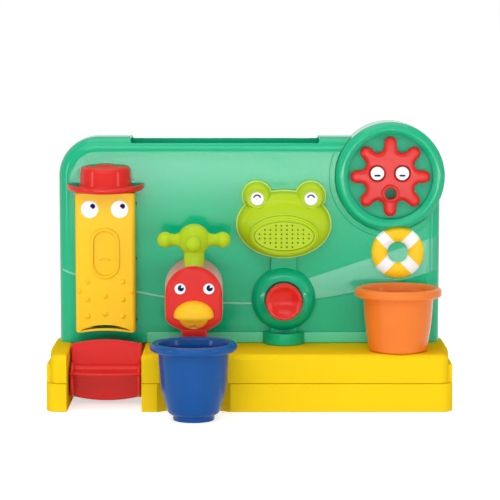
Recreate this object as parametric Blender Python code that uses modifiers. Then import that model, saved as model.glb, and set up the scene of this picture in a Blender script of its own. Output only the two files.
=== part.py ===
"""Bath activity panel: a standing board with a water wheel, tap, pump shower, star spinner and two cups.

Metres, +Z up, +X to the right and +Y away from the viewer. The origin is under the middle of the base.
Pieces on the board are placed in its own frame: x, height above the floor, distance in front of its face.
"""

import math

import bmesh
import bpy
from mathutils import Matrix, Vector

# Fits and walls
GAP = 0.0003
RUN = 0.0004
WALL = 0.0025
FLOOR = 0.0035
TRAY_WALL = 0.004
EYE_THICKNESS = 0.0014

# Base
BASE_WIDTH = 0.402
BASE_DEPTH = 0.130
SHELF_TOP = 0.057
SEAM_HEIGHT = 0.028
EAR_HEIGHT = 0.046
DECK_SET_BACK = 0.002
BASE_CORNER = 0.008
SHELF_ROUND = 0.004
CHEEK_WIDTH = 0.007
CHEEK_RISE = 0.007
CHEEK_LENGTH = 0.090
CHEEK_ROUND = 0.0035
BAY_SIDE_GAP = 0.00175
BAY_BACK_WALL = 0.015

# Row of pieces on the board: the shares are of its spare width, whose rest lies between frog and dial
EDGE_TO_CHUTE = 0.0185
BAY_SHIFT = 0.002
CHUTE_SHARE = 0.6741
BIRD_SHARE = 0.2405
DIAL_OVERHANG = 0.0036

# Board
BOARD_HEIGHT = 0.210
BOARD_THICKNESS = 0.040
BOARD_TO_BACK = 0.008
BOARD_CORNER = 0.040
BOARD_ROUND = 0.015
SKIRT_HEIGHT = 0.011
SKIRT_PROUD = 0.004
SLOT_FROM_CHUTE = 0.0255
SLOT_TO_DIAL = 0.017
SLOT_FRONT_DROP = 0.0065
SLOT_BACK_DROP = 0.003
BEAD_WIDTH = 0.0018
BEAD_PROUD = 0.0008
WAVE_LOW = 0.097
WAVE_LOW_X = -0.005
WAVE_RISE = 0.033
UPPER_WAVE_RISE = 0.052

# Water trough behind the slot
TROUGH_DROP = 0.011
TROUGH_DEPTH = 0.024
TROUGH_FRONT = 0.006
NOZZLE_WIDTH = 0.033
NOZZLE_HEIGHT = 0.011
NOZZLE_REACH = 0.004

# Chute with its hat
CHUTE_WIDTH = 0.060
CHUTE_BOTTOM = 0.070
CHUTE_TOP = 0.2115
CHUTE_PROUD = 0.022
CHUTE_CROWN = 0.002
CHUTE_CORNER = 0.005
CHUTE_ARCH = 0.0025
OUTLET_WIDTH = 0.051
CHUTE_FLOOR = 0.002
OUTLET_RISE = 0.0031
OUTLET_ARCH = 0.004
OUTLET_SILL = 0.0013
CHUTE_EYE_RADIUS = 0.0088
CHUTE_EYE_SPREAD = 0.030
CHUTE_EYE_DROP = 0.016
MOUTH_RING_WIDTH = 0.030
MOUTH_RING_LENGTH = 0.052
MOUTH_RING_HEIGHT = 0.151
MOUTH_RING_BAND = 0.003
MOUTH_RING_PROUD = 0.001
BUMP_RADIUS = 0.003
HAT_HEIGHT = 0.0268
HAT_CROWN_RADIUS = 0.026
HAT_BRIM_RADIUS = 0.039
HAT_BRIM_THICKNESS = 0.0045
HAT_SHOULDER = 0.0065
HAT_CURL = 0.0025
HAT_AXIS_PROUD = 0.005

# Paddle wheel
WHEEL_HEIGHT = 0.0348
WHEEL_SET_BACK = 0.046
WHEEL_WIDTH = 0.0705
WHEEL_CHEEK_RADIUS = 0.0179
WHEEL_CHEEK_OFFSET = 0.0085
WHEEL_CHEEK_THICKNESS = 0.0035
WHEEL_HUB_RADIUS = 0.006
BLADE_RADIUS = 0.031
BLADE_CROWN = 0.0045
BLADE_THICKNESS = 0.0025
AXLE_RADIUS = 0.0025

# Bird tap
BIRD_BACK_WIDTH = 0.061
BIRD_FRONT_WIDTH = 0.055
BIRD_TOP = 0.147
BIRD_SIDE_BOTTOM = 0.094
BIRD_DEPTH = 0.072
BIRD_ROUND = 0.005
BIRD_JAW = 0.010
NECK_WIDTH = 0.025
NECK_TOP = 0.078
NECK_DEPTH = 0.060
BIRD_EYE_RADIUS = 0.0054
BIRD_EYE_SPREAD = 0.0283
BEAK_TO_EYES = 0.020
BEAK_WIDTH = 0.0397
BEAK_PROUD = 0.015
BEAK_HEIGHT = 0.101
BEAK_UPPER = 0.009
LOWER_BEAK_WIDTH = 0.030
LOWER_BEAK = 0.0115
SPOUT_RADIUS = 0.004

# Tap handle
HANDLE_SET_BACK = 0.026
HANDLE_RISE = 0.0214
HANDLE_HUB_RADIUS = 0.016
HANDLE_REACH = 0.0365
HANDLE_NECK_RADIUS = 0.0062
HANDLE_KNOB_RADIUS = 0.0081
STEM_RADIUS = 0.0103
STEM_INSERT = 0.009
PLUG_RADIUS = 0.008
PLUG_LENGTH = 0.024

# Frog shower
PUMP_TO_FROG = 0.0767
FROG_HALF_WIDTH = 0.0485
FROG_HALF_HEIGHT = 0.0349
FROG_DEPTH = 0.024
FROG_ROUND = 0.004
FROG_EYE_SPREAD = 0.0541
FROG_EYE_RISE = 0.0286
FROG_EYE_BUMP = 0.0157
FROG_EYE_DEPTH = 0.0232
FROG_SOCKET_RADIUS = 0.0103
FROG_SOCKET_DEPTH = 0.0006
FROG_EYE_RADIUS = 0.0065
FROG_EYE_DROP = 0.0017
MUZZLE_HALF_WIDTH = 0.035
MUZZLE_HALF_HEIGHT = 0.0205
MUZZLE_DROP = 0.0099
MUZZLE_PROUD = 0.008
SPRAY_HALF_WIDTH = 0.0297
SPRAY_HALF_HEIGHT = 0.0145
SPRAY_LEDGE = 0.0025
HOLE_RADIUS = 0.0009
HOLE_PITCH_X = 0.0055
HOLE_PITCH_Z = 0.0043

# Pump below the frog
PUMP_HEIGHT = 0.1025
DOME_BAND = 0.0139
DOME_PROUD = 0.016
PUMP_NECK_WIDTH = 0.027
PUMP_NECK_PROUD = 0.006
PUMP_FOOT_WIDTH = 0.043
PUMP_FOOT_PROUD = 0.015
PUMP_FOOT_HEIGHT = 0.011
BUTTON_RADIUS = 0.0185
BUTTON_PROUD = 0.032
BUTTON_SKIRT = 0.002
BUTTON_TRAVEL = 0.012
BUTTON_DIMPLE = 0.0085
CYLINDER_RADIUS = 0.015
CYLINDER_SET_IN = 0.004
PORT_TO_BACK = 0.0062
PORT_BORE = 0.0022
SPIGOT_RADIUS = 0.0048
SPIGOT_BORE = 0.0034
SPIGOT_LENGTH = 0.006
ROD_RADIUS = 0.003
HEAD_THICKNESS = 0.005
SEAL_DEPTH = 0.0014
SEAL_WIDTH = 0.002
SPRING_RADIUS = 0.008
SPRING_WIRE = 0.0007
SPRING_TURNS = 5
VALVE_THICKNESS = 0.0009
TUBE_RADIUS = 0.0046
TUBE_BORE = 0.0024
TUBE_BEND = 0.012

# Dial with the star spinner
DIAL_DROP = 0.040
DIAL_BAND = 0.0123
DIAL_PROUD = 0.010
DIAL_FLOOR_SET_IN = 0.002
COLLAR_BAND = 0.0067
COLLAR_PROUD = 0.0015
STAR_LOBES = 8
STAR_CLEAR = 0.0028
STAR_TIP_RADIUS = 0.0402
STAR_VALLEY_RADIUS = 0.0268
STAR_LOBE_ROUND = 0.0065
STAR_BACK = 0.0005
STAR_THICKNESS = 0.008
STAR_ROUND = 0.0025
STAR_EYE_SPREAD = 0.0252
STAR_EYE_RISE = 0.003
STAR_EYE_RADIUS = 0.0067
STAR_SOCKET_RADIUS = 0.0089
STAR_SOCKET_PROUD = 0.001
STAR_MOUTH_DROP = 0.0165
STAR_MOUTH_RADIUS = 0.0087
STAR_MOUTH_BORE = 0.0058
STAR_MOUTH_PROUD = 0.004
PIN_RADIUS = 0.0025
PIN_HEAD_RADIUS = 0.005
PIN_HEAD = 0.002

# Lifebuoy
BUOY_SHIFT = 0.0083
BUOY_DROP = 0.077
BUOY_RADIUS = 0.0268
BUOY_HOLE = 0.0104
BUOY_THICKNESS = 0.006
PEG_RADIUS = 0.002

# Cups
BUCKET_REACH = 0.038
NICHE_DEPTH = 0.0145
BUCKET_HEIGHT = 0.0743
BUCKET_RIM_RADIUS = 0.0423
BUCKET_RIM_HEIGHT = 0.007
BUCKET_TOP_RADIUS = 0.0344
BUCKET_WAIST_RADIUS = 0.0316
BUCKET_FOOT_RADIUS = 0.020
POT_INSET = 0.053
POT_CLEAR = 0.0075
POT_HEIGHT = 0.063
POT_RIM_RADIUS = 0.0435
POT_RIM_HEIGHT = 0.009
POT_TOP_RADIUS = 0.035
POT_FOOT_RADIUS = 0.029
CUP_WALL = 0.002

# Screws
SCREW_RADIUS = 0.0016
SCREW_HEAD_RADIUS = 0.0032
SCREW_HEAD = 0.0018
SCREW_LENGTH = 0.010
BOSS_RADIUS = 0.0045
BOARD_BOSS_INSET = 0.016
BASE_BOSS_INSET = 0.010
BASE_BOSS_BACK = 0.020

# Derived sizes and places
DIAL_WINDOW = STAR_TIP_RADIUS + STAR_CLEAR
DIAL_RADIUS = DIAL_WINDOW + DIAL_BAND
COLLAR_RADIUS = DIAL_RADIUS + COLLAR_BAND
DOME_RADIUS = BUTTON_RADIUS + DOME_BAND
CYLINDER_BORE = CYLINDER_RADIUS - WALL
MUZZLE_DEPTH = FROG_DEPTH + MUZZLE_PROUD
BOARD_WIDTH = BASE_WIDTH - 2 * CHEEK_WIDTH
ROW_WIDTH = CHUTE_WIDTH + BIRD_BACK_WIDTH + 2 * FROG_HALF_WIDTH + 2 * DIAL_RADIUS - DIAL_OVERHANG
SPARE_WIDTH = BOARD_WIDTH - ROW_WIDTH - EDGE_TO_CHUTE
CHUTE_COLUMN = EDGE_TO_CHUTE + CHUTE_WIDTH + CHUTE_SHARE * SPARE_WIDTH
BAY_WIDTH = WHEEL_WIDTH + 2 * BAY_SIDE_GAP
BAY_DEPTH = BASE_DEPTH - BAY_BACK_WALL
BASE_BOSS_Y = BASE_DEPTH / 2 - BASE_BOSS_BACK
BASE_FRONT = -BASE_DEPTH / 2
FACE_Y = BASE_DEPTH / 2 - BOARD_TO_BACK - BOARD_THICKNESS
BOARD_TOP = SHELF_TOP + BOARD_HEIGHT
BOARD_BOTTOM = SHELF_TOP + GAP
SHELL_DEPTH = BOARD_THICKNESS - WALL - GAP
BACK_FACE = BOARD_THICKNESS - WALL
PORT_SET_IN = SHELL_DEPTH - PORT_TO_BACK
CHUTE_X = EDGE_TO_CHUTE + CHUTE_WIDTH / 2 - BOARD_WIDTH / 2
BAY_X = CHUTE_X + BAY_SHIFT
TAP_X = CHUTE_COLUMN + BIRD_BACK_WIDTH / 2 - BOARD_WIDTH / 2
FROG_X = TAP_X + BIRD_BACK_WIDTH / 2 + BIRD_SHARE * SPARE_WIDTH + FROG_HALF_WIDTH
PUMP_X = FROG_X
DIAL_X = BOARD_WIDTH / 2 + DIAL_OVERHANG - DIAL_RADIUS
DIAL_HEIGHT = BOARD_TOP - DIAL_DROP
SLOT_LEFT = CHUTE_X + SLOT_FROM_CHUTE
SLOT_RIGHT = DIAL_X - DIAL_RADIUS - SLOT_TO_DIAL
BUOY_X = DIAL_X + BUOY_SHIFT
BUOY_HEIGHT = DIAL_HEIGHT - BUOY_DROP
BUCKET_X = TAP_X
BUCKET_Y = BASE_FRONT - BUCKET_REACH
NICHE_RADIUS = BUCKET_REACH + NICHE_DEPTH
POT_X = BASE_WIDTH / 2 - POT_INSET
POT_Y = FACE_Y - POT_CLEAR - POT_RIM_RADIUS
WHEEL_Y = BASE_FRONT + WHEEL_SET_BACK
HANDLE_Y = BASE_FRONT + HANDLE_SET_BACK
HANDLE_HEIGHT = BIRD_TOP + HANDLE_RISE
STEM_BOTTOM = BIRD_TOP - STEM_INSERT
BIRD_EYE_HEIGHT = BEAK_HEIGHT + BEAK_TO_EYES
FROG_HEIGHT = PUMP_HEIGHT + PUMP_TO_FROG
TROUGH_TOP = BOARD_TOP - TROUGH_DROP
TROUGH_FLOOR = TROUGH_TOP - TROUGH_DEPTH
CHUTE_EYE_HEIGHT = CHUTE_TOP - CHUTE_EYE_DROP
NOZZLE_HEIGHT_MID = CHUTE_TOP - NOZZLE_HEIGHT - WALL
MUZZLE_HEIGHT = FROG_HEIGHT - MUZZLE_DROP
FEED_HEIGHT = (BIRD_TOP + BIRD_SIDE_BOTTOM) / 2
FACING = (math.pi / 2, 0, 0)

# Finishes: colour as the eye sees it from 0 to 255, roughness, metallic
TEAL = ((28, 172, 128), 0.3, 0)
YELLOW = ((250, 205, 38), 0.3, 0)
RED = ((226, 44, 46), 0.3, 0)
LIME = ((166, 208, 38), 0.3, 0)
BLUE = ((38, 88, 168), 0.3, 0)
ORANGE = ((245, 124, 56), 0.3, 0)
WHITE = ((250, 250, 248), 0.3, 0)
CLEAR = ((206, 220, 222), 0.2, 0)
RUBBER = ((30, 30, 32), 0.6, 0)
STEEL = ((190, 192, 196), 0.25, 1)


def clear_scene():
    """Removes every object and makes the collections for the parts and their cutters."""
    for old in list(bpy.data.objects):
        bpy.data.objects.remove(old)
    for name in ("bath_activity_panel", "cutters"):
        bpy.context.scene.collection.children.link(bpy.data.collections.new(name))


def material_of(name, finish):
    """A Principled material of its own for one part."""
    colour, roughness, metallic = finish
    material = bpy.data.materials.new(name)
    material.use_nodes = True
    shader = material.node_tree.nodes["Principled BSDF"]
    linear = [((c / 255 + 0.055) / 1.055) ** 2.4 for c in colour]
    shader.inputs["Base Color"].default_value = (*linear, 1)
    shader.inputs["Roughness"].default_value = roughness
    shader.inputs["Metallic"].default_value = metallic
    return material


def add(name, mesh, place=(0, 0, 0), turn=(0, 0, 0), parent=None, finish=None):
    """Puts a mesh in the scene: a part where it has a finish, and a hidden cutter where it has none."""
    thing = bpy.data.objects.new(name, mesh)
    thing.location = place
    thing.rotation_euler = turn
    thing.parent = parent
    if finish:
        mesh.materials.append(material_of(name, finish))
    else:
        thing.hide_render = True
        thing.display_type = "WIRE"
    bpy.data.collections["bath_activity_panel" if finish else "cutters"].objects.link(thing)
    return thing


def frame(name, place, turn=(0, 0, 0)):
    """An empty that pieces are placed on."""
    empty = bpy.data.objects.new(name, None)
    empty.location = place
    empty.rotation_euler = turn
    bpy.data.collections["bath_activity_panel"].objects.link(empty)
    return empty


def combine(target, other, operation):
    """Cuts other from target, or joins it on, with a Boolean modifier."""
    step = target.modifiers.new(other.name, "BOOLEAN")
    step.operation = operation
    step.object = other
    step.solver = "EXACT"


def cut(target, *others):
    """Takes the other shapes out of target."""
    for other in others:
        combine(target, other, "DIFFERENCE")


def join(target, *others):
    """Adds the other shapes to target."""
    for other in others:
        combine(target, other, "UNION")


def mesh_of(name, bm):
    """The bmesh as a smooth-shaded mesh with its sharp edges kept."""
    bm.normal_update()
    bmesh.ops.recalc_face_normals(bm, faces=bm.faces)
    mesh = bpy.data.meshes.new(name)
    bm.to_mesh(mesh)
    bm.free()
    mesh.shade_smooth()
    mesh.set_sharp_from_angle(angle=math.radians(35))
    return mesh


def box(name, low, high):
    """A box between two corners."""
    bm = bmesh.new()
    low, high = Vector(low), Vector(high)
    place = Matrix.Translation((low + high) / 2) @ Matrix.Diagonal((*(high - low), 1))
    bmesh.ops.create_cube(bm, size=1, matrix=place)
    return mesh_of(name, bm)


def rod(name, radius, low, high, segments=20, axis="Z", centre=(0, 0), end_radius=None):
    """A round bar along an axis, from low to high, centred on the other two coordinates in order."""
    bm = bmesh.new()
    end = radius if end_radius is None else end_radius
    bmesh.ops.create_cone(
        bm, cap_ends=True, segments=segments, radius1=radius, radius2=end, depth=high - low
    )
    spin = {"X": Matrix.Rotation(math.pi / 2, 4, "Y"), "Y": Matrix.Rotation(-math.pi / 2, 4, "X")}
    middle = (low + high) / 2
    place = {"X": (middle, *centre), "Y": (centre[0], middle, centre[-1]), "Z": (*centre, middle)}
    bm.transform(Matrix.Translation(place[axis]) @ spin.get(axis, Matrix.Identity(4)))
    return mesh_of(name, bm)


def ball(name, sizes, centre=(0, 0, 0), around=16, up=8):
    """An ellipsoid with these half sizes."""
    bm = bmesh.new()
    place = Matrix.Translation(centre) @ Matrix.Diagonal((*sizes, 1))
    bmesh.ops.create_uvsphere(bm, u_segments=around, v_segments=up, radius=1, matrix=place)
    return mesh_of(name, bm)


def plate(name, outline, low, high, rounding=0.0, steps=4, sharp=None):
    """A flat outline made a solid from low to high, with its top edge rounded where asked."""
    bm = bmesh.new()
    face = bm.faces.new([bm.verts.new((*spot, low)) for spot in outline])
    raised = bmesh.ops.extrude_face_region(bm, geom=[face])["geom"]
    corners = [v for v in raised if isinstance(v, bmesh.types.BMVert)]
    bmesh.ops.translate(bm, verts=corners, vec=(0, 0, high - low))
    if rounding:
        round_top(bm, high, rounding, steps, sharp)
    return mesh_of(name, bm)


def round_top(bm, height, rounding, steps, sharp):
    """Rounds the edges at this height, apart from those whose two ends both pass the test of a sharp edge."""
    rim = [edge for edge in bm.edges if all(abs(v.co.z - height) < 1e-6 for v in edge.verts)]
    if sharp:
        rim = [edge for edge in rim if not all(sharp(v.co) for v in edge.verts)]
    bmesh.ops.bevel(
        bm, geom=rim, offset=rounding, segments=steps, profile=0.5, affect="EDGES", material=-1
    )


def turned(name, profile, steps=32):
    """A profile of radius and height as a mesh of edges, which a Screw modifier turns about Z."""
    ends = profile[1:] + profile[:1]
    area = sum(a[0] * b[1] - b[0] * a[1] for a, b in zip(profile, ends))
    points = profile if area < 0 else profile[::-1]
    edges = [(i, i + 1) for i in range(len(points) - 1)]
    if min(radius for radius, _ in points) > 0:
        edges.append((len(points) - 1, 0))
    mesh = bpy.data.meshes.new(name)
    mesh.from_pydata([(radius, 0, height) for radius, height in points], edges, [])
    return mesh, steps


def add_turned(name, shape, **where):
    """Puts a turned shape in the scene with its Screw modifier."""
    mesh, steps = shape
    thing = add(name, mesh, **where)
    screw = thing.modifiers.new("turn", "SCREW")
    screw.steps = screw.render_steps = steps
    screw.use_merge_vertices = True
    screw.merge_threshold = 1e-5
    screw.use_smooth_shade = True
    return thing


def arc(centre, radius, start, end, steps):
    """Points along an arc, between two angles in degrees, ends included."""
    turns = [math.radians(start + (end - start) * i / steps) for i in range(steps + 1)]
    return [(centre[0] + radius * math.cos(t), centre[1] + radius * math.sin(t)) for t in turns]


def ellipse(half_width, half_height, centre=(0, 0), steps=24):
    """Points round an ellipse."""
    turns = [2 * math.pi * i / steps for i in range(steps)]
    return [(centre[0] + half_width * math.cos(t), centre[1] + half_height * math.sin(t)) for t in turns]


def bent(start, corner, end, steps=4):
    """Points along a curve from start to end that bends towards the corner, ends included."""
    start, corner, end = Vector(start), Vector(corner), Vector(end)
    shares = [i / steps for i in range(steps + 1)]
    return [tuple(start.lerp(corner, t).lerp(corner.lerp(end, t), t)) for t in shares]


def stadium(width, length, centre=(0, 0), steps=6):
    """An upright slot with round ends."""
    x, z = centre
    rise = (length - width) / 2
    return arc((x, z + rise), width / 2, 0, 180, steps) + arc((x, z - rise), width / 2, 180, 360, steps)


def tube(name, points, radius, sides=1):
    """A round bar along a path, as a closed mesh."""
    curve = bpy.data.curves.new(name, "CURVE")
    curve.dimensions = "3D"
    curve.bevel_depth = radius
    curve.bevel_resolution = sides
    curve.use_fill_caps = True
    spline = curve.splines.new("POLY")
    spline.points.add(len(points) - 1)
    for point, spot in zip(spline.points, points):
        point.co = (*spot, 1)
    drawn = bpy.data.objects.new(name, curve)
    bpy.context.scene.collection.objects.link(drawn)
    graph = bpy.context.evaluated_depsgraph_get()
    solid = bpy.data.meshes.new_from_object(drawn.evaluated_get(graph))
    bpy.data.objects.remove(drawn)
    bm = bmesh.new()
    bm.from_mesh(solid)
    bpy.data.meshes.remove(solid)
    bmesh.ops.remove_doubles(bm, verts=bm.verts, dist=1e-6)
    return mesh_of(name, bm)


def base_block(name, inset, low, high, rounding=0.0):
    """The base's block with round corners, drawn in from its edge by inset."""
    right, back = BASE_WIDTH / 2 - inset, BASE_DEPTH / 2 - inset
    corner = max(BASE_CORNER - inset, BASE_CORNER / 8)
    points = []
    for i, (x, y) in enumerate(((-1, -1), (1, -1), (1, 1), (-1, 1))):
        centre = (x * (right - corner), y * (back - corner))
        points += arc(centre, corner, 180 + 90 * i, 270 + 90 * i, 4)
    return plate(name, points, low, high, rounding, 2)


def base_recesses(name, margin, low, high, flare):
    """Cutters for the wheel's bay and the bucket's niche, grown by margin, with a round flare at the top."""
    half = BAY_WIDTH / 2 + margin
    over = high + flare
    side = arc((half + flare, high - flare), flare, 180, 90, 3) + [(half + flare, over)]
    bay = [(half, low), *side, *((-x, z) for x, z in reversed(side)), (-half, low)]
    ends = (BASE_FRONT + BASE_DEPTH, -BASE_FRONT - BAY_DEPTH - margin)
    room = plate(name + "_bay", bay, ends[1], ends[0])
    reach = NICHE_RADIUS + margin
    wall = arc((reach + flare, high - flare), flare, 180, 90, 3)
    niche = turned(name + "_niche", [(0, low), (reach, low), *wall, (reach + flare, over), (0, over)], 48)
    return [
        add(name + "_bay", room, place=(BAY_X, 0, 0), turn=FACING),
        add_turned(name + "_niche", niche, place=(BUCKET_X, BUCKET_Y, 0)),
    ]


def base_bosses():
    """Where the base's screws stand, one near each corner."""
    reach = BASE_WIDTH / 2 - BASE_BOSS_INSET
    return [(side * reach, end * BASE_BOSS_Y) for side in (-1, 1) for end in (-1, 1)]


def base_tray():
    """The lower half of the base, open at the top, with thin ears that rise beside the deck."""
    tray = add("base_tray", base_block("base_tray", 0, 0, SEAM_HEIGHT), finish=YELLOW)
    room = add("tray_room", base_block("tray_room", TRAY_WALL, FLOOR, SEAM_HEIGHT + FLOOR))
    cut(room, *base_recesses("tray_wall", TRAY_WALL, 0, 2 * SEAM_HEIGHT, FLOOR))
    cut(tray, room, *base_recesses("tray", 0, -FLOOR, 2 * SEAM_HEIGHT, FLOOR))
    reach = BASE_FRONT + BASE_CORNER
    for side, word in ((-1, "left"), (1, "right")):
        edges = sorted((side * (BASE_WIDTH / 2 - DECK_SET_BACK + GAP), side * BASE_WIDTH / 2))
        low = (edges[0], reach, SEAM_HEIGHT - FLOOR)
        join(tray, add("ear_" + word, box("ear", low, (edges[1], -reach, EAR_HEIGHT))))
    for i, (x, y) in enumerate(base_bosses()):
        hole = rod("tray_hole", SCREW_RADIUS + GAP, -FLOOR, 2 * FLOOR, 8, centre=(x, y))
        sink = rod("tray_sink", SCREW_HEAD_RADIUS + GAP, -FLOOR, SCREW_HEAD + 2 * GAP, 12, centre=(x, y))
        cut(tray, add(f"tray_hole_{i}", hole), add(f"tray_sink_{i}", sink))
    inlet = rod("inlet", TUBE_RADIUS + GAP, -FLOOR, 2 * FLOOR, 12, centre=(PUMP_X, suction_y()))
    cut(tray, add("tray_inlet", inlet))


def suction_y():
    """Where the pump's ports stand, behind the board's face."""
    return FACE_Y + PORT_SET_IN


def base_deck():
    """The upper half of the base: the shelf, with cheeks beside the board and holes for the wheel's axle."""
    top_round = min(SHELF_ROUND, BASE_CORNER / 2)
    body = base_block("base_deck", DECK_SET_BACK, SEAM_HEIGHT + GAP, SHELF_TOP, top_round)
    deck = add("base_deck", body, finish=YELLOW)
    edge = BASE_WIDTH / 2 - DECK_SET_BACK
    back = -BASE_FRONT - DECK_SET_BACK
    inner = BOARD_WIDTH / 2 + GAP
    foot = SHELF_TOP - 2 * top_round
    outline = [(back - CHEEK_LENGTH, foot), (back, foot)]
    outline += arc((back - CHEEK_RISE, SHELF_TOP), CHEEK_RISE, 0, 90, 4)
    outline += arc((back - CHEEK_LENGTH + CHEEK_RISE, SHELF_TOP), CHEEK_RISE, 90, 180, 4)
    for side, word in ((-1, "left"), (1, "right")):
        cheek = plate("cheek", outline, inner, edge, min(CHEEK_ROUND, (edge - inner) / 2), 3)
        cheek.transform(Matrix(((0, 0, side, 0), (1, 0, 0, 0), (0, 1, 0, 0), (0, 0, 0, 1))))
        if side < 0:
            cheek.flip_normals()
        join(deck, add("cheek_" + word, cheek))
    inset = DECK_SET_BACK + WALL
    room = add("deck_room", base_block("deck_room", inset, 0, SHELF_TOP - WALL))
    cut(room, *base_recesses("deck_wall", WALL, -WALL, 2 * SHELF_TOP, WALL))
    cut(deck, room, *base_recesses("deck", 0, 0, SHELF_TOP, top_round))
    for i, (x, y) in enumerate(base_bosses()):
        boss = rod("boss", BOSS_RADIUS, FLOOR + GAP, SHELF_TOP - WALL / 2, 10, centre=(x, y))
        join(deck, add(f"deck_boss_{i}", boss))
        pilot = rod("pilot", SCREW_RADIUS + GAP, 0, FLOOR + SCREW_LENGTH, 6, centre=(x, y))
        cut(deck, add(f"deck_pilot_{i}", pilot))
    half = axle_half_length() + WALL
    bore = rod("bore", AXLE_RADIUS + GAP, BAY_X - half, BAY_X + half, 16, "X", (WHEEL_Y, WHEEL_HEIGHT))
    cut(deck, add("axle_bore", bore))
    pipe = rod("pipe", TUBE_RADIUS + GAP, 0, SHELF_TOP + WALL, 12, centre=(PUMP_X, suction_y()))
    cut(deck, add("deck_pipe_hole", pipe))


def axle_half_length():
    """The wheel's axle ends just inside the bay's two walls."""
    return BAY_WIDTH / 2 + WALL


def board_blank(name, inset, depth):
    """The board's block, drawn in by inset, with a round front edge on its sides and top and a sharp foot."""
    edge = BOARD_WIDTH / 2 - inset
    top, bottom, corner = BOARD_TOP - inset, BOARD_BOTTOM + inset, BOARD_CORNER - inset
    outline = [(-edge, bottom), (edge, bottom)]
    outline += arc((edge - corner, top - corner), corner, 0, 90, 6)
    outline += arc((corner - edge, top - corner), corner, 90, 180, 6)
    return plate(
        name,
        outline,
        -depth,
        -inset,
        rounding=BOARD_ROUND - inset,
        steps=3,
        sharp=lambda co: co.y < bottom + GAP,
    )


def board_bosses():
    """Where the screws of the board's back stand."""
    reach = BOARD_WIDTH / 2 - BOARD_BOSS_INSET
    low = BOARD_BOTTOM + BOARD_BOSS_INSET
    middle = (SLOT_LEFT + SLOT_RIGHT) / 2 + BOARD_BOSS_INSET
    below_trough = TROUGH_FLOOR - BOARD_BOSS_INSET
    below_dial = DIAL_HEIGHT - DIAL_RADIUS - BOARD_BOSS_INSET
    return [
        (-reach, low),
        (middle, low),
        (reach, low),
        (-reach, below_trough),
        (middle, below_trough),
        (reach, below_dial),
    ]


def bead(name, start, middle, end, board):
    """A low moulded line on the board's face, along a curve bent towards its middle point."""
    start, middle, end = Vector(start), Vector(middle), Vector(end)
    left, right = [], []
    count = 6
    for i in range(count + 1):
        t = i / count
        spot = (1 - t) ** 2 * start + 2 * t * (1 - t) * middle + t**2 * end
        along = ((1 - t) * (middle - start) + t * (end - middle)).normalized()
        across = Vector((-along.y, along.x)) * BEAD_WIDTH / 2
        left.append(spot + across)
        right.append(spot - across)
    line = plate(name, left + right[::-1], -WALL / 2, BEAD_PROUD)
    return add(name, line, parent=board)


def board_front(board):
    """The board's front shell: a hollow moulding, open at the back and at the water slot in its top."""
    shell = add("board_front", board_blank("board_front", 0, SHELL_DEPTH), parent=board, finish=TEAL)
    join(shell, *board_trims(board))
    cut(shell, add("board_room", board_blank("board_room", WALL, BOARD_THICKNESS), parent=board))
    for i, spot in enumerate(board_bosses()):
        boss = rod("boss", BOSS_RADIUS, -SHELL_DEPTH, -WALL / 2, 10, centre=spot)
        depth = -SHELL_DEPTH + SCREW_LENGTH
        pilot = rod("pilot", SCREW_RADIUS + GAP, -BOARD_THICKNESS, depth, 6, centre=spot)
        join(shell, add(f"board_boss_{i}", boss, parent=board))
        cut(shell, add(f"board_pilot_{i}", pilot, parent=board))
    cut(shell, *board_openings(board))


def board_trims(board):
    """What stands proud of the board's face: the skirt at its foot, the dial's collar and the two waves."""
    right = BOARD_WIDTH / 2 - BOARD_ROUND
    left = BAY_X + BAY_WIDTH / 2 + DECK_SET_BACK
    skirt_top = BOARD_BOTTOM + SKIRT_HEIGHT
    skirt = box("skirt", (left, BOARD_BOTTOM, -WALL / 2), (right, skirt_top, SKIRT_PROUD))
    collar = rod("collar", COLLAR_RADIUS, -WALL / 2, COLLAR_PROUD, 40, centre=(DIAL_X, DIAL_HEIGHT))
    trims = [add("skirt", skirt, parent=board), add("collar", collar, parent=board)]
    top = BOARD_TOP - BOARD_ROUND
    limit = box("collar_limit", (-right, SHELF_TOP, -WALL), (right, top, WALL + COLLAR_PROUD))
    combine(trims[1], add("collar_limit", limit, parent=board), "INTERSECT")
    high = WAVE_LOW + WAVE_RISE
    waves = {
        "long_wave": ((-right, high), (WAVE_LOW_X, WAVE_LOW - WAVE_RISE), (right, high)),
        "upper_wave": ((PUMP_X, PUMP_HEIGHT), (DIAL_X - COLLAR_RADIUS, high), (right, top_wave_end())),
    }
    trims += [bead(name, *points, board) for name, points in waves.items()]
    shadows = covered_places(board)
    for trim in trims:
        cut(trim, *shadows)
    return trims


def top_wave_end():
    """Height at which the upper wave reaches the board's right edge."""
    return WAVE_LOW + UPPER_WAVE_RISE


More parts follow.
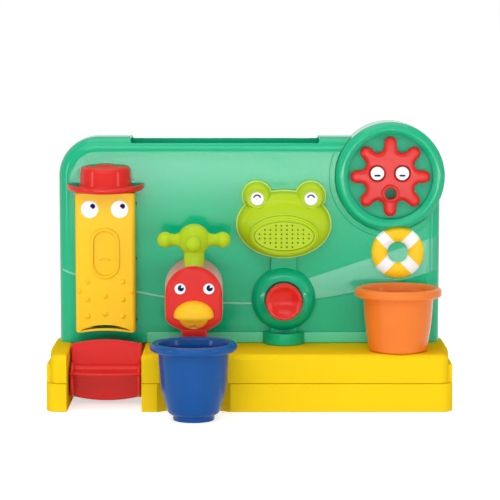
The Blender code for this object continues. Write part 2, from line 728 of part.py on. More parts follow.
def covered_places(board):
    """The places on the board's face that other pieces cover, where nothing may stand proud."""
    deep, proud = -WALL, BOARD_THICKNESS
    chute, bird, neck = (width / 2 + GAP for width in (CHUTE_WIDTH, BIRD_BACK_WIDTH, NECK_WIDTH))
    foot = PUMP_FOOT_WIDTH / 2 + GAP
    stem = PUMP_NECK_WIDTH / 2 + GAP
    skirt_top = BOARD_BOTTOM + 2 * SKIRT_HEIGHT
    low = BOARD_BOTTOM - WALL
    chute_top = (CHUTE_X + chute, CHUTE_TOP, proud)
    bird_top = (TAP_X + bird, BIRD_TOP + GAP, proud)
    shapes = {
        "under_chute": box("under_chute", (CHUTE_X - chute, CHUTE_BOTTOM, deep), chute_top),
        "under_bird": box("under_bird", (TAP_X - bird, NECK_TOP, deep), bird_top),
        "under_neck": box("under_neck", (TAP_X - neck, low, deep), (TAP_X + neck, NECK_TOP, proud)),
        "under_foot": box("under_foot", (PUMP_X - foot, low, deep), (PUMP_X + foot, skirt_top, proud)),
        "under_stem": box("under_stem", (PUMP_X - stem, low, deep), (PUMP_X + stem, FROG_HEIGHT, proud)),
        "under_dome": rod("under_dome", DOME_RADIUS + GAP, deep, proud, 40, centre=(PUMP_X, PUMP_HEIGHT)),
        "under_buoy": rod("under_buoy", BUOY_RADIUS + GAP, deep, proud, 40, centre=(BUOY_X, BUOY_HEIGHT)),
        "under_frog": plate("under_frog", frog_outline(GAP), deep, proud),
    }
    return [add(name, mesh, parent=board) for name, mesh in shapes.items()]


def frog_outline(margin):
    """The frog's face from the front, drawn out by margin."""
    centre = (FROG_X, FROG_HEIGHT)
    return ellipse(FROG_HALF_WIDTH + margin, FROG_HALF_HEIGHT + margin, centre)


def board_openings(board):
    """What is cut from the front shell for the slot, the dial and the pieces that pass through its wall."""
    deep, proud = -BOARD_THICKNESS, BOARD_THICKNESS
    slot = box(
        "slot", (SLOT_LEFT, BOARD_TOP - SLOT_FRONT_DROP, deep), (SLOT_RIGHT, BOARD_TOP + WALL, proud)
    )
    dial = rod("dial_hole", DIAL_RADIUS + GAP, deep, proud, 36, centre=(DIAL_X, DIAL_HEIGHT))
    low = BOARD_BOTTOM - WALL
    nozzle = NOZZLE_WIDTH / 2 + GAP
    window = NOZZLE_HEIGHT / 2 + GAP
    spray = (PUMP_X, MUZZLE_HEIGHT)
    shapes = {
        "slot": slot,
        "dial_hole": dial,
        "nozzle_window": box(
            "nozzle_window",
            (CHUTE_X - nozzle, NOZZLE_HEIGHT_MID - window, -2 * WALL),
            (CHUTE_X + nozzle, NOZZLE_HEIGHT_MID + window, WALL),
        ),
        "feed_hole": rod("feed_hole", TUBE_RADIUS + GAP, -2 * WALL, WALL, 12, centre=(TAP_X, FEED_HEIGHT)),
        "spray_hole": rod("spray_hole", TUBE_RADIUS + GAP, -2 * WALL, WALL, 12, centre=spray),
        "button_hole": rod(
            "button_hole", BUTTON_RADIUS + RUN, -2 * WALL, WALL, 32, centre=(PUMP_X, PUMP_HEIGHT)
        ),
        "pipe_hole": rod(
            "pipe_hole", TUBE_RADIUS + GAP, low, low + 3 * WALL, 12, "Y", (PUMP_X, -PORT_SET_IN)
        ),
    }
    for side in (-1, 1):
        spot = (BUOY_X + side * (BUOY_RADIUS + BUOY_HOLE) / 2, BUOY_HEIGHT)
        shapes[f"peg_hole_{side}"] = rod("peg_hole", PEG_RADIUS + GAP, -2 * WALL, WALL, 12, centre=spot)
    return [add(name, mesh, parent=board) for name, mesh in shapes.items()]


def board_back(board):
    """The flat back of the board, with the round of the dial on its corner."""
    edge, corner = BOARD_WIDTH / 2, BOARD_CORNER
    outline = [(-edge, BOARD_BOTTOM), (edge, BOARD_BOTTOM)]
    outline += arc((edge - corner, BOARD_TOP - corner), corner, 0, 90, 6)
    outline += arc((corner - edge, BOARD_TOP - corner), corner, 90, 180, 6)
    sheet = plate("board_back", outline, -BOARD_THICKNESS, -BACK_FACE)
    back = add("board_back", sheet, parent=board, finish=TEAL)
    disc = rod("back_disc", DIAL_RADIUS, -BOARD_THICKNESS, -BACK_FACE, 36, centre=(DIAL_X, DIAL_HEIGHT))
    join(back, add("back_disc", disc, parent=board))
    low = (SLOT_LEFT, BOARD_TOP - SLOT_BACK_DROP, -2 * BOARD_THICKNESS)
    cut(back, add("back_slot", box("back_slot", low, (SLOT_RIGHT, BOARD_TOP + WALL, 0)), parent=board))
    for i, (x, height) in enumerate(board_bosses()):
        hole = rod("hole", SCREW_RADIUS + GAP, -2 * BOARD_THICKNESS, 0, 8, centre=(x, height))
        cut(back, add(f"back_hole_{i}", hole, parent=board))


def water_trough(board):
    """The channel behind the slot, with a well at its left end whose nozzle feeds the chute."""
    left = CHUTE_X - NOZZLE_WIDTH / 2
    right = SLOT_RIGHT + 2 * WALL
    front, back = -TROUGH_FRONT, -SHELL_DEPTH + TROUGH_FRONT
    well_right = CHUTE_X + NOZZLE_WIDTH / 2
    low = NOZZLE_HEIGHT_MID - NOZZLE_HEIGHT / 2
    high = NOZZLE_HEIGHT_MID + NOZZLE_HEIGHT / 2
    trough = add(
        "water_trough",
        box("water_trough", (left, TROUGH_FLOOR, back), (right, TROUGH_TOP, front)),
        parent=board,
        finish=CLEAR,
    )
    well = box("well", (left, low, back), (well_right, TROUGH_FLOOR + WALL, front))
    nozzle = box("nozzle", (left, low, front - WALL), (well_right, high, NOZZLE_REACH))
    join(trough, add("well", well, parent=board), add("nozzle", nozzle, parent=board))
    rooms = {
        "channel_room": ((left, TROUGH_FLOOR, back), (right, TROUGH_TOP + 2 * WALL, front)),
        "well_room": ((left, low, back), (well_right, TROUGH_TOP, front)),
        "nozzle_room": ((left, low, back), (well_right, high, NOZZLE_REACH + 2 * WALL)),
    }
    thin = Vector((WALL, WALL, WALL))
    for name, (near, far) in rooms.items():
        room = box(name, Vector(near) + thin, Vector(far) - thin)
        cut(trough, add(name, room, parent=board))
    drain = rod(
        "drain", TUBE_BORE, TROUGH_FLOOR - WALL, TROUGH_FLOOR + 2 * WALL, 12, "Y", (TAP_X, (front + back) / 2)
    )
    cut(trough, add("drain", drain, parent=board))


def chute_plan(inset, back):
    """The chute seen from above: flat at the back, crowned in front, with round corners."""
    half, front = CHUTE_WIDTH / 2 - inset, CHUTE_PROUD - CHUTE_CROWN - inset
    corner = max(CHUTE_CORNER - inset, CHUTE_CORNER / 4)
    points = [(half, back)] + arc((half - corner, front - corner), corner, 0, 75, 4)
    points += [(0.5 * half, front + 0.7 * CHUTE_CROWN), (0, front + CHUTE_CROWN)]
    points += [(-0.5 * half, front + 0.7 * CHUTE_CROWN)]
    points += arc((corner - half, front - corner), corner, 105, 180, 4) + [(-half, back)]
    return [(CHUTE_X + x, FACE_Y - proud) for x, proud in points]


def shallow_arc(width, height, rise):
    """Points of a flat arch over the chute's middle, from right to left, its ends at this height."""
    radius = (width**2 / 4 + rise**2) / (2 * rise)
    sweep = math.degrees(math.asin(width / 2 / radius))
    return arc((CHUTE_X, height + rise - radius), radius, 90 - sweep, 90 + sweep, 10)


def chute_cover(board):
    """The chute's face: a hollow cover, open at the back and top, with an arched outlet above its lip."""
    body = plate("chute_cover", chute_plan(0, GAP), CHUTE_BOTTOM, CHUTE_TOP)
    chute = add("chute_cover", body, finish=YELLOW)
    arch = shallow_arc(CHUTE_WIDTH + 2 * WALL, CHUTE_BOTTOM, CHUTE_ARCH)
    below = CHUTE_BOTTOM - WALL
    corners = [(CHUTE_X - CHUTE_WIDTH, below), (CHUTE_X + CHUTE_WIDTH, below)]
    under = plate("chute_arch", corners + arch, -WALL, 2 * CHUTE_PROUD)
    floor = CHUTE_BOTTOM + CHUTE_ARCH + CHUTE_FLOOR
    room = plate("chute_room", chute_plan(WALL, -WALL), floor, CHUTE_TOP + WALL)
    ends = CHUTE_BOTTOM + OUTLET_RISE
    sill = shallow_arc(OUTLET_WIDTH, ends, OUTLET_SILL)
    slit = shallow_arc(OUTLET_WIDTH, ends, OUTLET_ARCH) + sill[-2:0:-1]
    outlet = plate("outlet", slit, CHUTE_PROUD / 2, 2 * CHUTE_PROUD)
    cut(chute, add("chute_arch", under, parent=board), add("chute_room", room))
    cut(chute, add("chute_outlet", outlet, parent=board))
    chute_relief(chute, board)
    chute_eyes(chute, board)


def chute_relief(chute, board):
    """The raised mouth ring and the rows of small bumps on the chute's face."""
    proud = CHUTE_PROUD + MOUTH_RING_PROUD
    spot = (CHUTE_X, MOUTH_RING_HEIGHT)
    ring = plate(
        "mouth_ring", stadium(MOUTH_RING_WIDTH, MOUTH_RING_LENGTH, spot), CHUTE_PROUD - 2 * CHUTE_CROWN, proud
    )
    ring = add("mouth_ring", ring, parent=board)
    inner = (MOUTH_RING_WIDTH - 2 * MOUTH_RING_BAND, MOUTH_RING_LENGTH - 2 * MOUTH_RING_BAND)
    hollow = plate("mouth_hollow", stadium(*inner, spot), 0, 2 * CHUTE_PROUD)
    cut(ring, add("mouth_hollow", hollow, parent=board))
    join(chute, ring)
    first = MOUTH_RING_HEIGHT - MOUTH_RING_LENGTH / 2 - BUMP_RADIUS
    step = 3 * BUMP_RADIUS
    rows = [(0, 0.30), (1, 0.44), (1.5, 0), (2, 0.30), (3.5, 0), (4, 0.30)]
    for i, (down, across) in enumerate(rows):
        for side in (-1, 1) if across else (1,):
            height = first - down * step
            spot = (CHUTE_X + side * across * CHUTE_WIDTH, height, CHUTE_PROUD - CHUTE_CROWN)
            bump = ball("bump", (BUMP_RADIUS, BUMP_RADIUS, 1.2 * BUMP_RADIUS), spot, 6, 4)
            join(chute, add(f"bump_{i}_{side}", bump, parent=board))


def chute_hat():
    """The bowler on top of the chute: half a turned hat, hollow, with its brim curled up at the sides."""
    low = CHUTE_TOP + GAP
    brim = low + HAT_BRIM_THICKNESS
    top = low + HAT_HEIGHT
    crown = HAT_CROWN_RADIUS
    lip = HAT_BRIM_RADIUS
    soft, shoulder = HAT_BRIM_THICKNESS, HAT_SHOULDER
    outer = [(0, top)] + arc((crown - shoulder, top - shoulder), shoulder, 90, 0, 4)
    outer += [(crown + WALL / 4, brim + soft / 2), (crown + soft / 2, brim - soft / 4)]
    outer.append((lip - soft / 2, brim - soft / 4))
    outer += arc((lip - soft / 4, brim - soft / 2), soft / 4, 90, -90, 4)
    outer += [(lip - soft / 2, low), (crown - WALL, low)]
    inner = [(crown - WALL, top - shoulder), (crown - shoulder, top - WALL), (0, top - WALL)]
    bm = bmesh.new()
    bm.from_mesh(turned("chute_hat", outer + inner)[0])
    everything = bm.verts[:] + bm.edges[:]
    bmesh.ops.spin(bm, geom=everything, axis=(0, 0, 1), angle=2 * math.pi, steps=24, use_merge=True)
    bmesh.ops.remove_doubles(bm, verts=bm.verts, dist=1e-6)
    for v in bm.verts:
        radius = math.hypot(v.co.x, v.co.y)
        if radius > crown:
            v.co.z += HAT_CURL * (radius - crown) / (lip - crown) * (v.co.x / radius) ** 2
    spot = (CHUTE_X, FACE_Y - HAT_AXIS_PROUD, 0)
    hat = add("chute_hat", mesh_of("chute_hat", bm), place=spot, finish=RED)
    reach = 2 * HAT_BRIM_RADIUS
    far = (CHUTE_X + reach, FACE_Y + reach, 2 * top)
    behind = box("behind_hat", (CHUTE_X - reach, FACE_Y - GAP, 0), far)
    cut(hat, add("behind_hat", behind))


def eye(name, radius, place, parent):
    """A white eye disc with a soft edge."""
    disc = plate(name, ellipse(radius, radius, steps=16), 0, EYE_THICKNESS, EYE_THICKNESS / 3, 1)
    return add(name, disc, place=place, parent=parent, finish=WHITE)


def chute_eyes(chute, board):
    """The two eyes on the chute, each let into its crowned face."""
    seat = CHUTE_PROUD - 0.7 * CHUTE_CROWN
    for side, word in ((-1, "left"), (1, "right")):
        spot = (CHUTE_X + side * CHUTE_EYE_SPREAD / 2, CHUTE_EYE_HEIGHT)
        hollow = rod("eye_seat", CHUTE_EYE_RADIUS + GAP, seat, 2 * CHUTE_PROUD, 24, centre=spot)
        cut(chute, add("chute_eye_seat_" + word, hollow, parent=board))
        eye("chute_eye_" + word, CHUTE_EYE_RADIUS, (*spot, seat + GAP), board)


def paddle_wheel():
    """A hub with four crowned blades and two cheeks, each of two round lobes, bored for the axle."""
    half = WHEEL_WIDTH / 2
    axis = frame("wheel_axis", (BAY_X, WHEEL_Y, WHEEL_HEIGHT))
    hub = rod("paddle_wheel", WHEEL_HUB_RADIUS, -half, half, 16, "X")
    wheel = add("paddle_wheel", hub, parent=axis, finish=RED)
    shift = WHEEL_CHEEK_OFFSET
    reach = math.degrees(math.acos(shift / WHEEL_CHEEK_RADIUS))
    lobe = arc((-shift, -shift), WHEEL_CHEEK_RADIUS, reach, 360 - reach, 14)
    cheek = lobe + [(-y, -height) for y, height in lobe]
    across = Matrix(((0, 0, 1, 0), (1, 0, 0, 0), (0, 1, 0, 0), (0, 0, 0, 1)))
    for side in (-1, 1):
        ends = sorted((side * (half - GAP), side * (half - WHEEL_CHEEK_THICKNESS)))
        sheet = plate("wheel_cheek", cheek, *ends)
        sheet.transform(across)
        join(wheel, add(f"wheel_cheek_{side}", sheet, parent=axis))
    crown_radius = (half**2 + BLADE_CROWN**2) / (2 * BLADE_CROWN)
    sweep = math.degrees(math.asin(half / crown_radius))
    centre = BLADE_RADIUS - crown_radius
    outline = arc((0, centre), crown_radius, 90 - sweep, 90 + sweep, 6)
    outline += arc((0, -centre), crown_radius, 270 - sweep, 270 + sweep, 6)
    for i in range(2):
        pair = plate("blade_pair", outline, -BLADE_THICKNESS / 2, BLADE_THICKNESS / 2)
        join(wheel, add(f"blade_pair_{i}", pair, parent=axis, turn=(i * math.pi / 2, 0, 0)))
    bore = rod("wheel_bore", AXLE_RADIUS + RUN, -WHEEL_WIDTH, WHEEL_WIDTH, 16, "X")
    cut(wheel, add("wheel_bore", bore, parent=axis))
    half = axle_half_length()
    add("paddle_axle", rod("paddle_axle", AXLE_RADIUS, -half, half, 16, "X"), parent=axis, finish=STEEL)


def bird_outline(inset):
    """The bird's head from the front: a round top, straight sides and a chin drawn in to the neck."""
    half = BIRD_BACK_WIDTH / 2 - inset
    neck = NECK_WIDTH / 2 - inset / 2
    jaw = BIRD_SIDE_BOTTOM + inset / 2
    crown = BIRD_TOP - BIRD_BACK_WIDTH / 2
    chin = (neck, NECK_TOP + inset)
    right = bent(chin, (half, jaw - BIRD_JAW), (half, jaw), 5)
    left = [(-x, height) for x, height in reversed(right)]
    return left + right + arc((0, crown), half, 0, 180, 12)


def bird_block(name, inset, low, high):
    """The head's block, drawn in by inset and narrower in front than at the board."""
    bm = bmesh.new()
    bm.from_mesh(plate(name, bird_outline(inset), low, high, BIRD_ROUND, 3))
    middle = (BIRD_TOP + NECK_TOP) / 2
    for v in bm.verts:
        share = (v.co.z - low) / (high - low)
        shrink = 1 + share * (BIRD_FRONT_WIDTH / BIRD_BACK_WIDTH - 1)
        v.co.x *= shrink
        v.co.y = middle + (v.co.y - middle) * shrink
    return mesh_of(name, bm)


def bird_tap(board):
    """The bird's hollow head on its neck, with a hole for the tap's stem and a spout behind the beak."""
    here = {"place": (TAP_X, 0, 0), "parent": board}
    head = add("bird_head", bird_block("bird_head", 0, GAP, BIRD_DEPTH), finish=RED, **here)
    half = NECK_WIDTH / 2
    neck = box("bird_neck", (-half, BOARD_BOTTOM, GAP), (half, NECK_TOP + WALL, NECK_DEPTH))
    join(head, add("bird_neck", neck, **here))
    room = bird_block("bird_room", WALL, -WALL, BIRD_DEPTH - WALL)
    ends = (BIRD_DEPTH - 3 * WALL, BIRD_DEPTH + WALL)
    spout = rod("bird_spout", SPOUT_RADIUS, *ends, centre=(0, beak_parting()))
    cut(head, add("bird_room", room, **here), add("bird_spout", spout, **here))
    spot = (TAP_X, HANDLE_Y)
    stem = rod("stem_hole", STEM_RADIUS + RUN, BIRD_SIDE_BOTTOM, 2 * BIRD_TOP, 24, centre=spot)
    cut(head, add("stem_hole", stem))
    for side, word in ((-1, "left"), (1, "right")):
        spot = (TAP_X + side * BIRD_EYE_SPREAD / 2, BIRD_EYE_HEIGHT, BIRD_DEPTH + GAP)
        eye("bird_eye_" + word, BIRD_EYE_RADIUS, spot, board)
    bird_beak(board)


def beak_parting():
    """Height where the upper and lower beak meet, which is the middle of the spout."""
    return BEAK_HEIGHT - 2 / 3 * BEAK_UPPER


def bird_beak(board):
    """Upper and lower beak in one piece, flat where it sits on the head, with a spout that pours down."""
    here = {"place": (TAP_X, 0, BIRD_DEPTH + GAP), "parent": board}
    upper = ball("bird_beak", (BEAK_WIDTH / 2, BEAK_UPPER, BEAK_PROUD), (0, BEAK_HEIGHT, 0), 16, 8)
    beak = add("bird_beak", upper, finish=YELLOW, **here)
    parting = beak_parting()
    lower = ball("lower_beak", (LOWER_BEAK_WIDTH / 2, LOWER_BEAK, 0.8 * BEAK_PROUD), (0, parting, 0), 16, 8)
    join(beak, add("lower_beak", lower, **here))
    reach = BEAK_WIDTH
    behind = box("behind_beak", (-reach, parting - reach, -reach), (reach, parting + reach, 0))
    drop = SPOUT_RADIUS + WALL / 2
    bore = rod("beak_bore", SPOUT_RADIUS, -BEAK_PROUD, drop + SPOUT_RADIUS / 2, centre=(0, parting))
    drain = rod("beak_drain", SPOUT_RADIUS, parting - 2 * LOWER_BEAK, parting, 20, "Y", (0, drop))
    cut(beak, add("behind_beak", behind, **here), add("beak_bore", bore, **here))
    cut(beak, add("beak_drain", drain, **here))


def tap_handle():
    """The cross handle: a round hub with four knobbed arms on a stem, and the valve plug below it."""
    axis = frame("tap_axis", (TAP_X, HANDLE_Y, HANDLE_HEIGHT))
    hub = ball("tap_handle", (HANDLE_HUB_RADIUS,) * 3, around=16, up=8)
    handle = add("tap_handle", hub, parent=axis, finish=LIME)
    knob, neck = HANDLE_REACH - HANDLE_KNOB_RADIUS, HANDLE_NECK_RADIUS
    profile = [(0, HANDLE_REACH)] + arc((0, knob), HANDLE_KNOB_RADIUS, 60, -45, 4)
    profile += [(neck, HANDLE_HUB_RADIUS), (neck, HANDLE_HUB_RADIUS / 2), (0, HANDLE_HUB_RADIUS / 2)]
    for i in range(4):
        turn = (math.pi / 2, 0, i * math.pi / 2)
        join(handle, add_turned(f"arm_{i}", turned("arm", profile, 10), parent=axis, turn=turn))
    bottom = STEM_BOTTOM - HANDLE_HEIGHT
    join(handle, add("stem", rod("stem", STEM_RADIUS, bottom, 0, 24), parent=axis))
    plug = rod("tap_valve", PLUG_RADIUS, bottom - GAP - PLUG_LENGTH, bottom - GAP)
    valve = add("tap_valve", plug, parent=axis, finish=RUBBER)
    spot = (0, bottom - PLUG_LENGTH * 2 / 3)
    port = rod("valve_port", SPOUT_RADIUS, -2 * PLUG_RADIUS, 2 * PLUG_RADIUS, 12, "X", spot)
    cut(valve, add("valve_port", port, parent=axis))


def frog_head(board):
    """The frog's shell with its eye bumps and muzzle, open at the back and behind the spray plate."""
    here = {"place": (FROG_X, FROG_HEIGHT, 0), "parent": board}
    face = ellipse(FROG_HALF_WIDTH, FROG_HALF_HEIGHT)
    frog = add("frog_head", plate("frog_head", face, GAP, FROG_DEPTH, FROG_ROUND, 3), finish=LIME, **here)
    low = (0, -MUZZLE_DROP)
    lips = ellipse(MUZZLE_HALF_WIDTH, MUZZLE_HALF_HEIGHT, low)
    join(frog, add("muzzle", plate("muzzle", lips, FROG_DEPTH / 2, MUZZLE_DEPTH, 2 * WALL, 2), **here))
    round_eye = ellipse(FROG_EYE_BUMP, FROG_EYE_BUMP, steps=20)
    for side, word in ((-1, "left"), (1, "right")):
        spot = (FROG_X + side * FROG_EYE_SPREAD / 2, FROG_HEIGHT + FROG_EYE_RISE, 0)
        bump = plate("eye_bump", round_eye, GAP, FROG_EYE_DEPTH, FROG_ROUND, 3)
        join(frog, add("eye_bump_" + word, bump, place=spot, parent=board))
        front = (spot[0], spot[1] - FROG_EYE_DROP)
        floor = FROG_EYE_DEPTH - FROG_SOCKET_DEPTH
        socket = rod("socket", FROG_SOCKET_RADIUS, floor, 2 * FROG_DEPTH, 24, centre=front)
        cut(frog, add("frog_socket_" + word, socket, parent=board))
        eye("frog_eye_" + word, FROG_EYE_RADIUS, (*front, floor + GAP), board)
    room = ellipse(FROG_HALF_WIDTH - WALL, FROG_HALF_HEIGHT - WALL, steps=20)
    throat = ellipse(SPRAY_HALF_WIDTH - SPRAY_LEDGE, SPRAY_HALF_HEIGHT - SPRAY_LEDGE, low, 16)
    seat = ellipse(SPRAY_HALF_WIDTH + GAP, SPRAY_HALF_HEIGHT + GAP, low)
    cuts = {
        "frog_room": plate("frog_room", room, -WALL, FROG_DEPTH - WALL, FROG_ROUND - WALL, 2),
        "frog_throat": plate("frog_throat", throat, FROG_DEPTH / 2, 2 * MUZZLE_DEPTH),
        "frog_seat": plate("frog_seat", seat, MUZZLE_DEPTH - WALL - GAP, 2 * MUZZLE_DEPTH),
    }
    cut(frog, *(add(name, mesh, **here) for name, mesh in cuts.items()))
    frog_spray_plate(board)


def spray_holes():
    """Centres of the spray holes: six rows in the middle columns, fewer towards the sides."""
    rows_of_column = {0.5: 6, 1.5: 6, 2.5: 4, 3.5: 4, 4.5: 2}
    for column, rows in rows_of_column.items():
        for row in range(rows):
            for side in (-1, 1):
                yield side * column * HOLE_PITCH_X, (row - (rows - 1) / 2) * HOLE_PITCH_Z


def frog_spray_plate(board):
    """The shower's plate with its pattern of small holes."""
    here = {"place": (FROG_X, MUZZLE_HEIGHT, MUZZLE_DEPTH - WALL), "parent": board}
    sheet = plate("frog_spray_plate", ellipse(SPRAY_HALF_WIDTH, SPRAY_HALF_HEIGHT), 0, WALL, WALL / 5, 1)
    spray = add("frog_spray_plate", sheet, finish=LIME, **here)
    bm = bmesh.new()
    for x, height in spray_holes():
        spot = Matrix.Translation((x, height, WALL / 2))
        size = {"radius1": HOLE_RADIUS, "radius2": HOLE_RADIUS, "depth": 3 * WALL}
        bmesh.ops.create_cone(bm, cap_ends=True, segments=4, matrix=spot, **size)
    cut(spray, add("spray_holes", mesh_of("spray_holes", bm), **here))


def pump_dome(board):
    """The pump's round housing on the board, with a neck up to the frog and a foot on the shelf."""
    here = {"place": (PUMP_X, PUMP_HEIGHT, 0), "parent": board}
    bore, edge, top = BUTTON_RADIUS + RUN, DOME_RADIUS, DOME_PROUD
    rim = bore + WALL
    slope = arc((0, 0), 1, 75, 0, 5)
    profile = [(bore, GAP), (bore, top), (rim, top)]
    profile += [(rim + (edge - rim) * x, GAP + (top - GAP) * rise) for x, rise in slope]
    dome = add_turned("pump_dome", turned("pump_dome", profile, 24), finish=TEAL, **here)
    half, foot_half = PUMP_NECK_WIDTH / 2, PUMP_FOOT_WIDTH / 2
    middle = (bore + edge) / 2
    chin = FROG_HEIGHT - FROG_HALF_HEIGHT - GAP - PUMP_HEIGHT
    down = BOARD_BOTTOM - PUMP_HEIGHT
    upper = box("upper_neck", (-half, middle, GAP), (half, chin, PUMP_NECK_PROUD))
    lower = box("lower_neck", (-half, down, GAP), (half, -middle, PUMP_NECK_PROUD))
    round_foot = rod("pump_foot", foot_half, down, down + PUMP_FOOT_HEIGHT, 32, "Y")
    round_foot.transform(Matrix.Diagonal((1, 1, PUMP_FOOT_PROUD / foot_half, 1)))
    foot = add("pump_foot", round_foot, **here)
    reach = PUMP_FOOT_WIDTH
    behind = box("behind_foot", (-reach, 2 * down, -reach), (reach, 0, GAP))
    cut(foot, add("behind_foot", behind, **here))
    join(dome, add("upper_neck", upper, **here), add("lower_neck", lower, **here), foot)


def pump_button(board):
    """The push button, a hollow cap with a dished face, and its spring."""
    here = {"place": (PUMP_X, PUMP_HEIGHT, 0), "parent": board}
    soft = 2 * WALL
    top = BUTTON_PROUD
    inner = CYLINDER_RADIUS + (BUTTON_RADIUS - CYLINDER_RADIUS) / 3
    ceiling = button_ceiling()
    flat = BUTTON_RADIUS - soft
    profile = [(0, top - WALL), (BUTTON_DIMPLE / 2, top - 0.8 * WALL), (BUTTON_DIMPLE, top - WALL / 3)]
    profile += arc((flat, top - soft), soft, 90, 0, 4)
    profile += [(BUTTON_RADIUS, -BUTTON_SKIRT), (inner, -BUTTON_SKIRT), (inner, ceiling), (0, ceiling)]
    add_turned("pump_button", turned("pump_button", profile, 24), finish=RED, **here)
    low = -CYLINDER_SET_IN + GAP + SPRING_WIRE
    high = ceiling - GAP - SPRING_WIRE
    count = 9 * SPRING_TURNS
    points = []
    for i in range(count + 1):
        turn = 2 * math.pi * SPRING_TURNS * i / count
        spot = (SPRING_RADIUS * math.cos(turn), SPRING_RADIUS * math.sin(turn))
        points.append((*spot, low + (high - low) * i / count))
    add("pump_spring", tube("pump_spring", points, SPRING_WIRE), finish=STEEL, **here)
    squeeze = 1 - BUTTON_TRAVEL / (high - low)
    pressed = [(x, y, low + squeeze * (height - low)) for x, y, height in points]
    for state, places in (("at rest", points), ("pressed", pressed)):
        gap = least_gap(places, count // SPRING_TURNS * 2 // 3) - 2 * SPRING_WIRE
        print(f"spring {state}: at least {1000 * gap:.2f} mm between its turns")


def least_gap(points, apart):
    """The least distance between points of a path that are at least this many steps apart."""
    pairs = ((a, b) for i, a in enumerate(points) for b in points[i + apart :])
    return min(math.dist(a, b) for a, b in pairs)


def button_ceiling():
    """How far in front of the board's face the inside of the button ends."""
    return BUTTON_PROUD - 2 * WALL


def pump_piston(board):
    """The piston's rod and head, with a seal in the head's groove."""
    here = {"place": (PUMP_X, PUMP_HEIGHT, 0), "parent": board}
    high = button_ceiling() - GAP
    head = -CYLINDER_SET_IN - 2 * WALL
    edge = CYLINDER_BORE - RUN
    groove = edge - SEAL_DEPTH
    seal_top = head - (HEAD_THICKNESS - SEAL_WIDTH) / 2
    seal_low = seal_top - SEAL_WIDTH
    foot = head - HEAD_THICKNESS
    profile = [(0, high), (ROD_RADIUS, high), (ROD_RADIUS, head), (edge, head), (edge, seal_top)]
    profile += [(groove, seal_top), (groove, seal_low), (edge, seal_low), (edge, foot), (0, foot)]
    add_turned("pump_piston", turned("pump_piston", profile, 16), finish=WHITE, **here)
    bounds = (groove + GAP, edge + GAP / 2, seal_low + GAP, seal_top - GAP)
    ring = [(bounds[0], bounds[2]), (bounds[1], bounds[2]), (bounds[1], bounds[3]), (bounds[0], bounds[3])]
    add_turned("piston_seal", turned("piston_seal", ring, 16), finish=RUBBER, **here)


def spigot_reach():
    """How far the cylinder's spigots reach up and down from its axis."""
    return CYLINDER_RADIUS + SPIGOT_LENGTH


def pump_cylinder(board):
    """The cylinder behind the button, with a spigot and a flap valve for suction and one for spray."""
    here = {"place": (PUMP_X, PUMP_HEIGHT, 0), "parent": board}
    front, back, reach = -CYLINDER_SET_IN, -SHELL_DEPTH, spigot_reach()
    port = (0, -PORT_SET_IN)
    pocket = CYLINDER_RADIUS + WALL / 2
    barrel = rod("pump_cylinder", CYLINDER_RADIUS, back, front, 24)
    cylinder = add("pump_cylinder", barrel, finish=CLEAR, **here)
    join(cylinder, add("spigots", rod("spigots", SPIGOT_RADIUS, -reach, reach, 12, "Y", port), **here))
    cuts = {
        "cylinder_bore": rod("bore", CYLINDER_BORE, back + WALL, front - WALL, 24),
        "rod_hole": rod("rod_hole", ROD_RADIUS + RUN, front - 2 * WALL, front + WALL, 16),
        "ports": rod("ports", PORT_BORE, -2 * reach, 2 * reach, 12, "Y", port),
        "inlet_pocket": rod("pocket", SPIGOT_BORE, -2 * reach, -pocket, 12, "Y", port),
        "outlet_pocket": rod("pocket", SPIGOT_BORE, pocket, 2 * reach, 12, "Y", port),
    }
    cut(cylinder, *(add(name, mesh, **here) for name, mesh in cuts.items()))
    flaps = {"pump_inlet_valve": -reach, "pump_outlet_valve": pocket + GAP}
    for name, start in flaps.items():
        disc = rod(name, SPIGOT_BORE - GAP, start, start + VALVE_THICKNESS, 12, "Y", port)
        add(name, disc, finish=RUBBER, **here)


def hose(name, points, board):
    """A hose along a path in the board's frame, with its bore."""
    body = add(name, tube(name, points, TUBE_RADIUS, 2), parent=board, finish=CLEAR)
    path = [Vector(point) for point in points]
    start, end = (path[0] - path[1]).normalized(), (path[-1] - path[-2]).normalized()
    longer = [path[0] + WALL * start, *path[1:-1], path[-1] + WALL * end]
    cut(body, add(name + "_bore", tube(name + "_bore", longer, TUBE_BORE, 1), parent=board))


def bend(x, start_height, end_height, set_in, proud):
    """A path up or down behind the board's face, then forward through it at end_height."""
    side = 1 if start_height > end_height else -1
    corner = arc((0, 0), TUBE_BEND, 180, 270, 6)
    turn = [(x, end_height + side * (TUBE_BEND + b), TUBE_BEND + a - set_in) for a, b in corner]
    return [(x, start_height, -set_in), *turn, (x, end_height, proud)]


def hoses(board):
    """From the water up to the pump, from the pump to the shower, and from the trough to the tap."""
    reach = spigot_reach() + GAP
    low, high = PUMP_HEIGHT - reach, PUMP_HEIGHT + reach
    hose("suction_tube", [(PUMP_X, GAP, -PORT_SET_IN), (PUMP_X, low, -PORT_SET_IN)], board)
    hose("delivery_tube", bend(PUMP_X, high, MUZZLE_HEIGHT, PORT_SET_IN, FROG_DEPTH / 2), board)
    hose("tap_feed_tube", bend(TAP_X, TROUGH_FLOOR - GAP, FEED_HEIGHT, SHELL_DEPTH / 2, 2 * WALL), board)


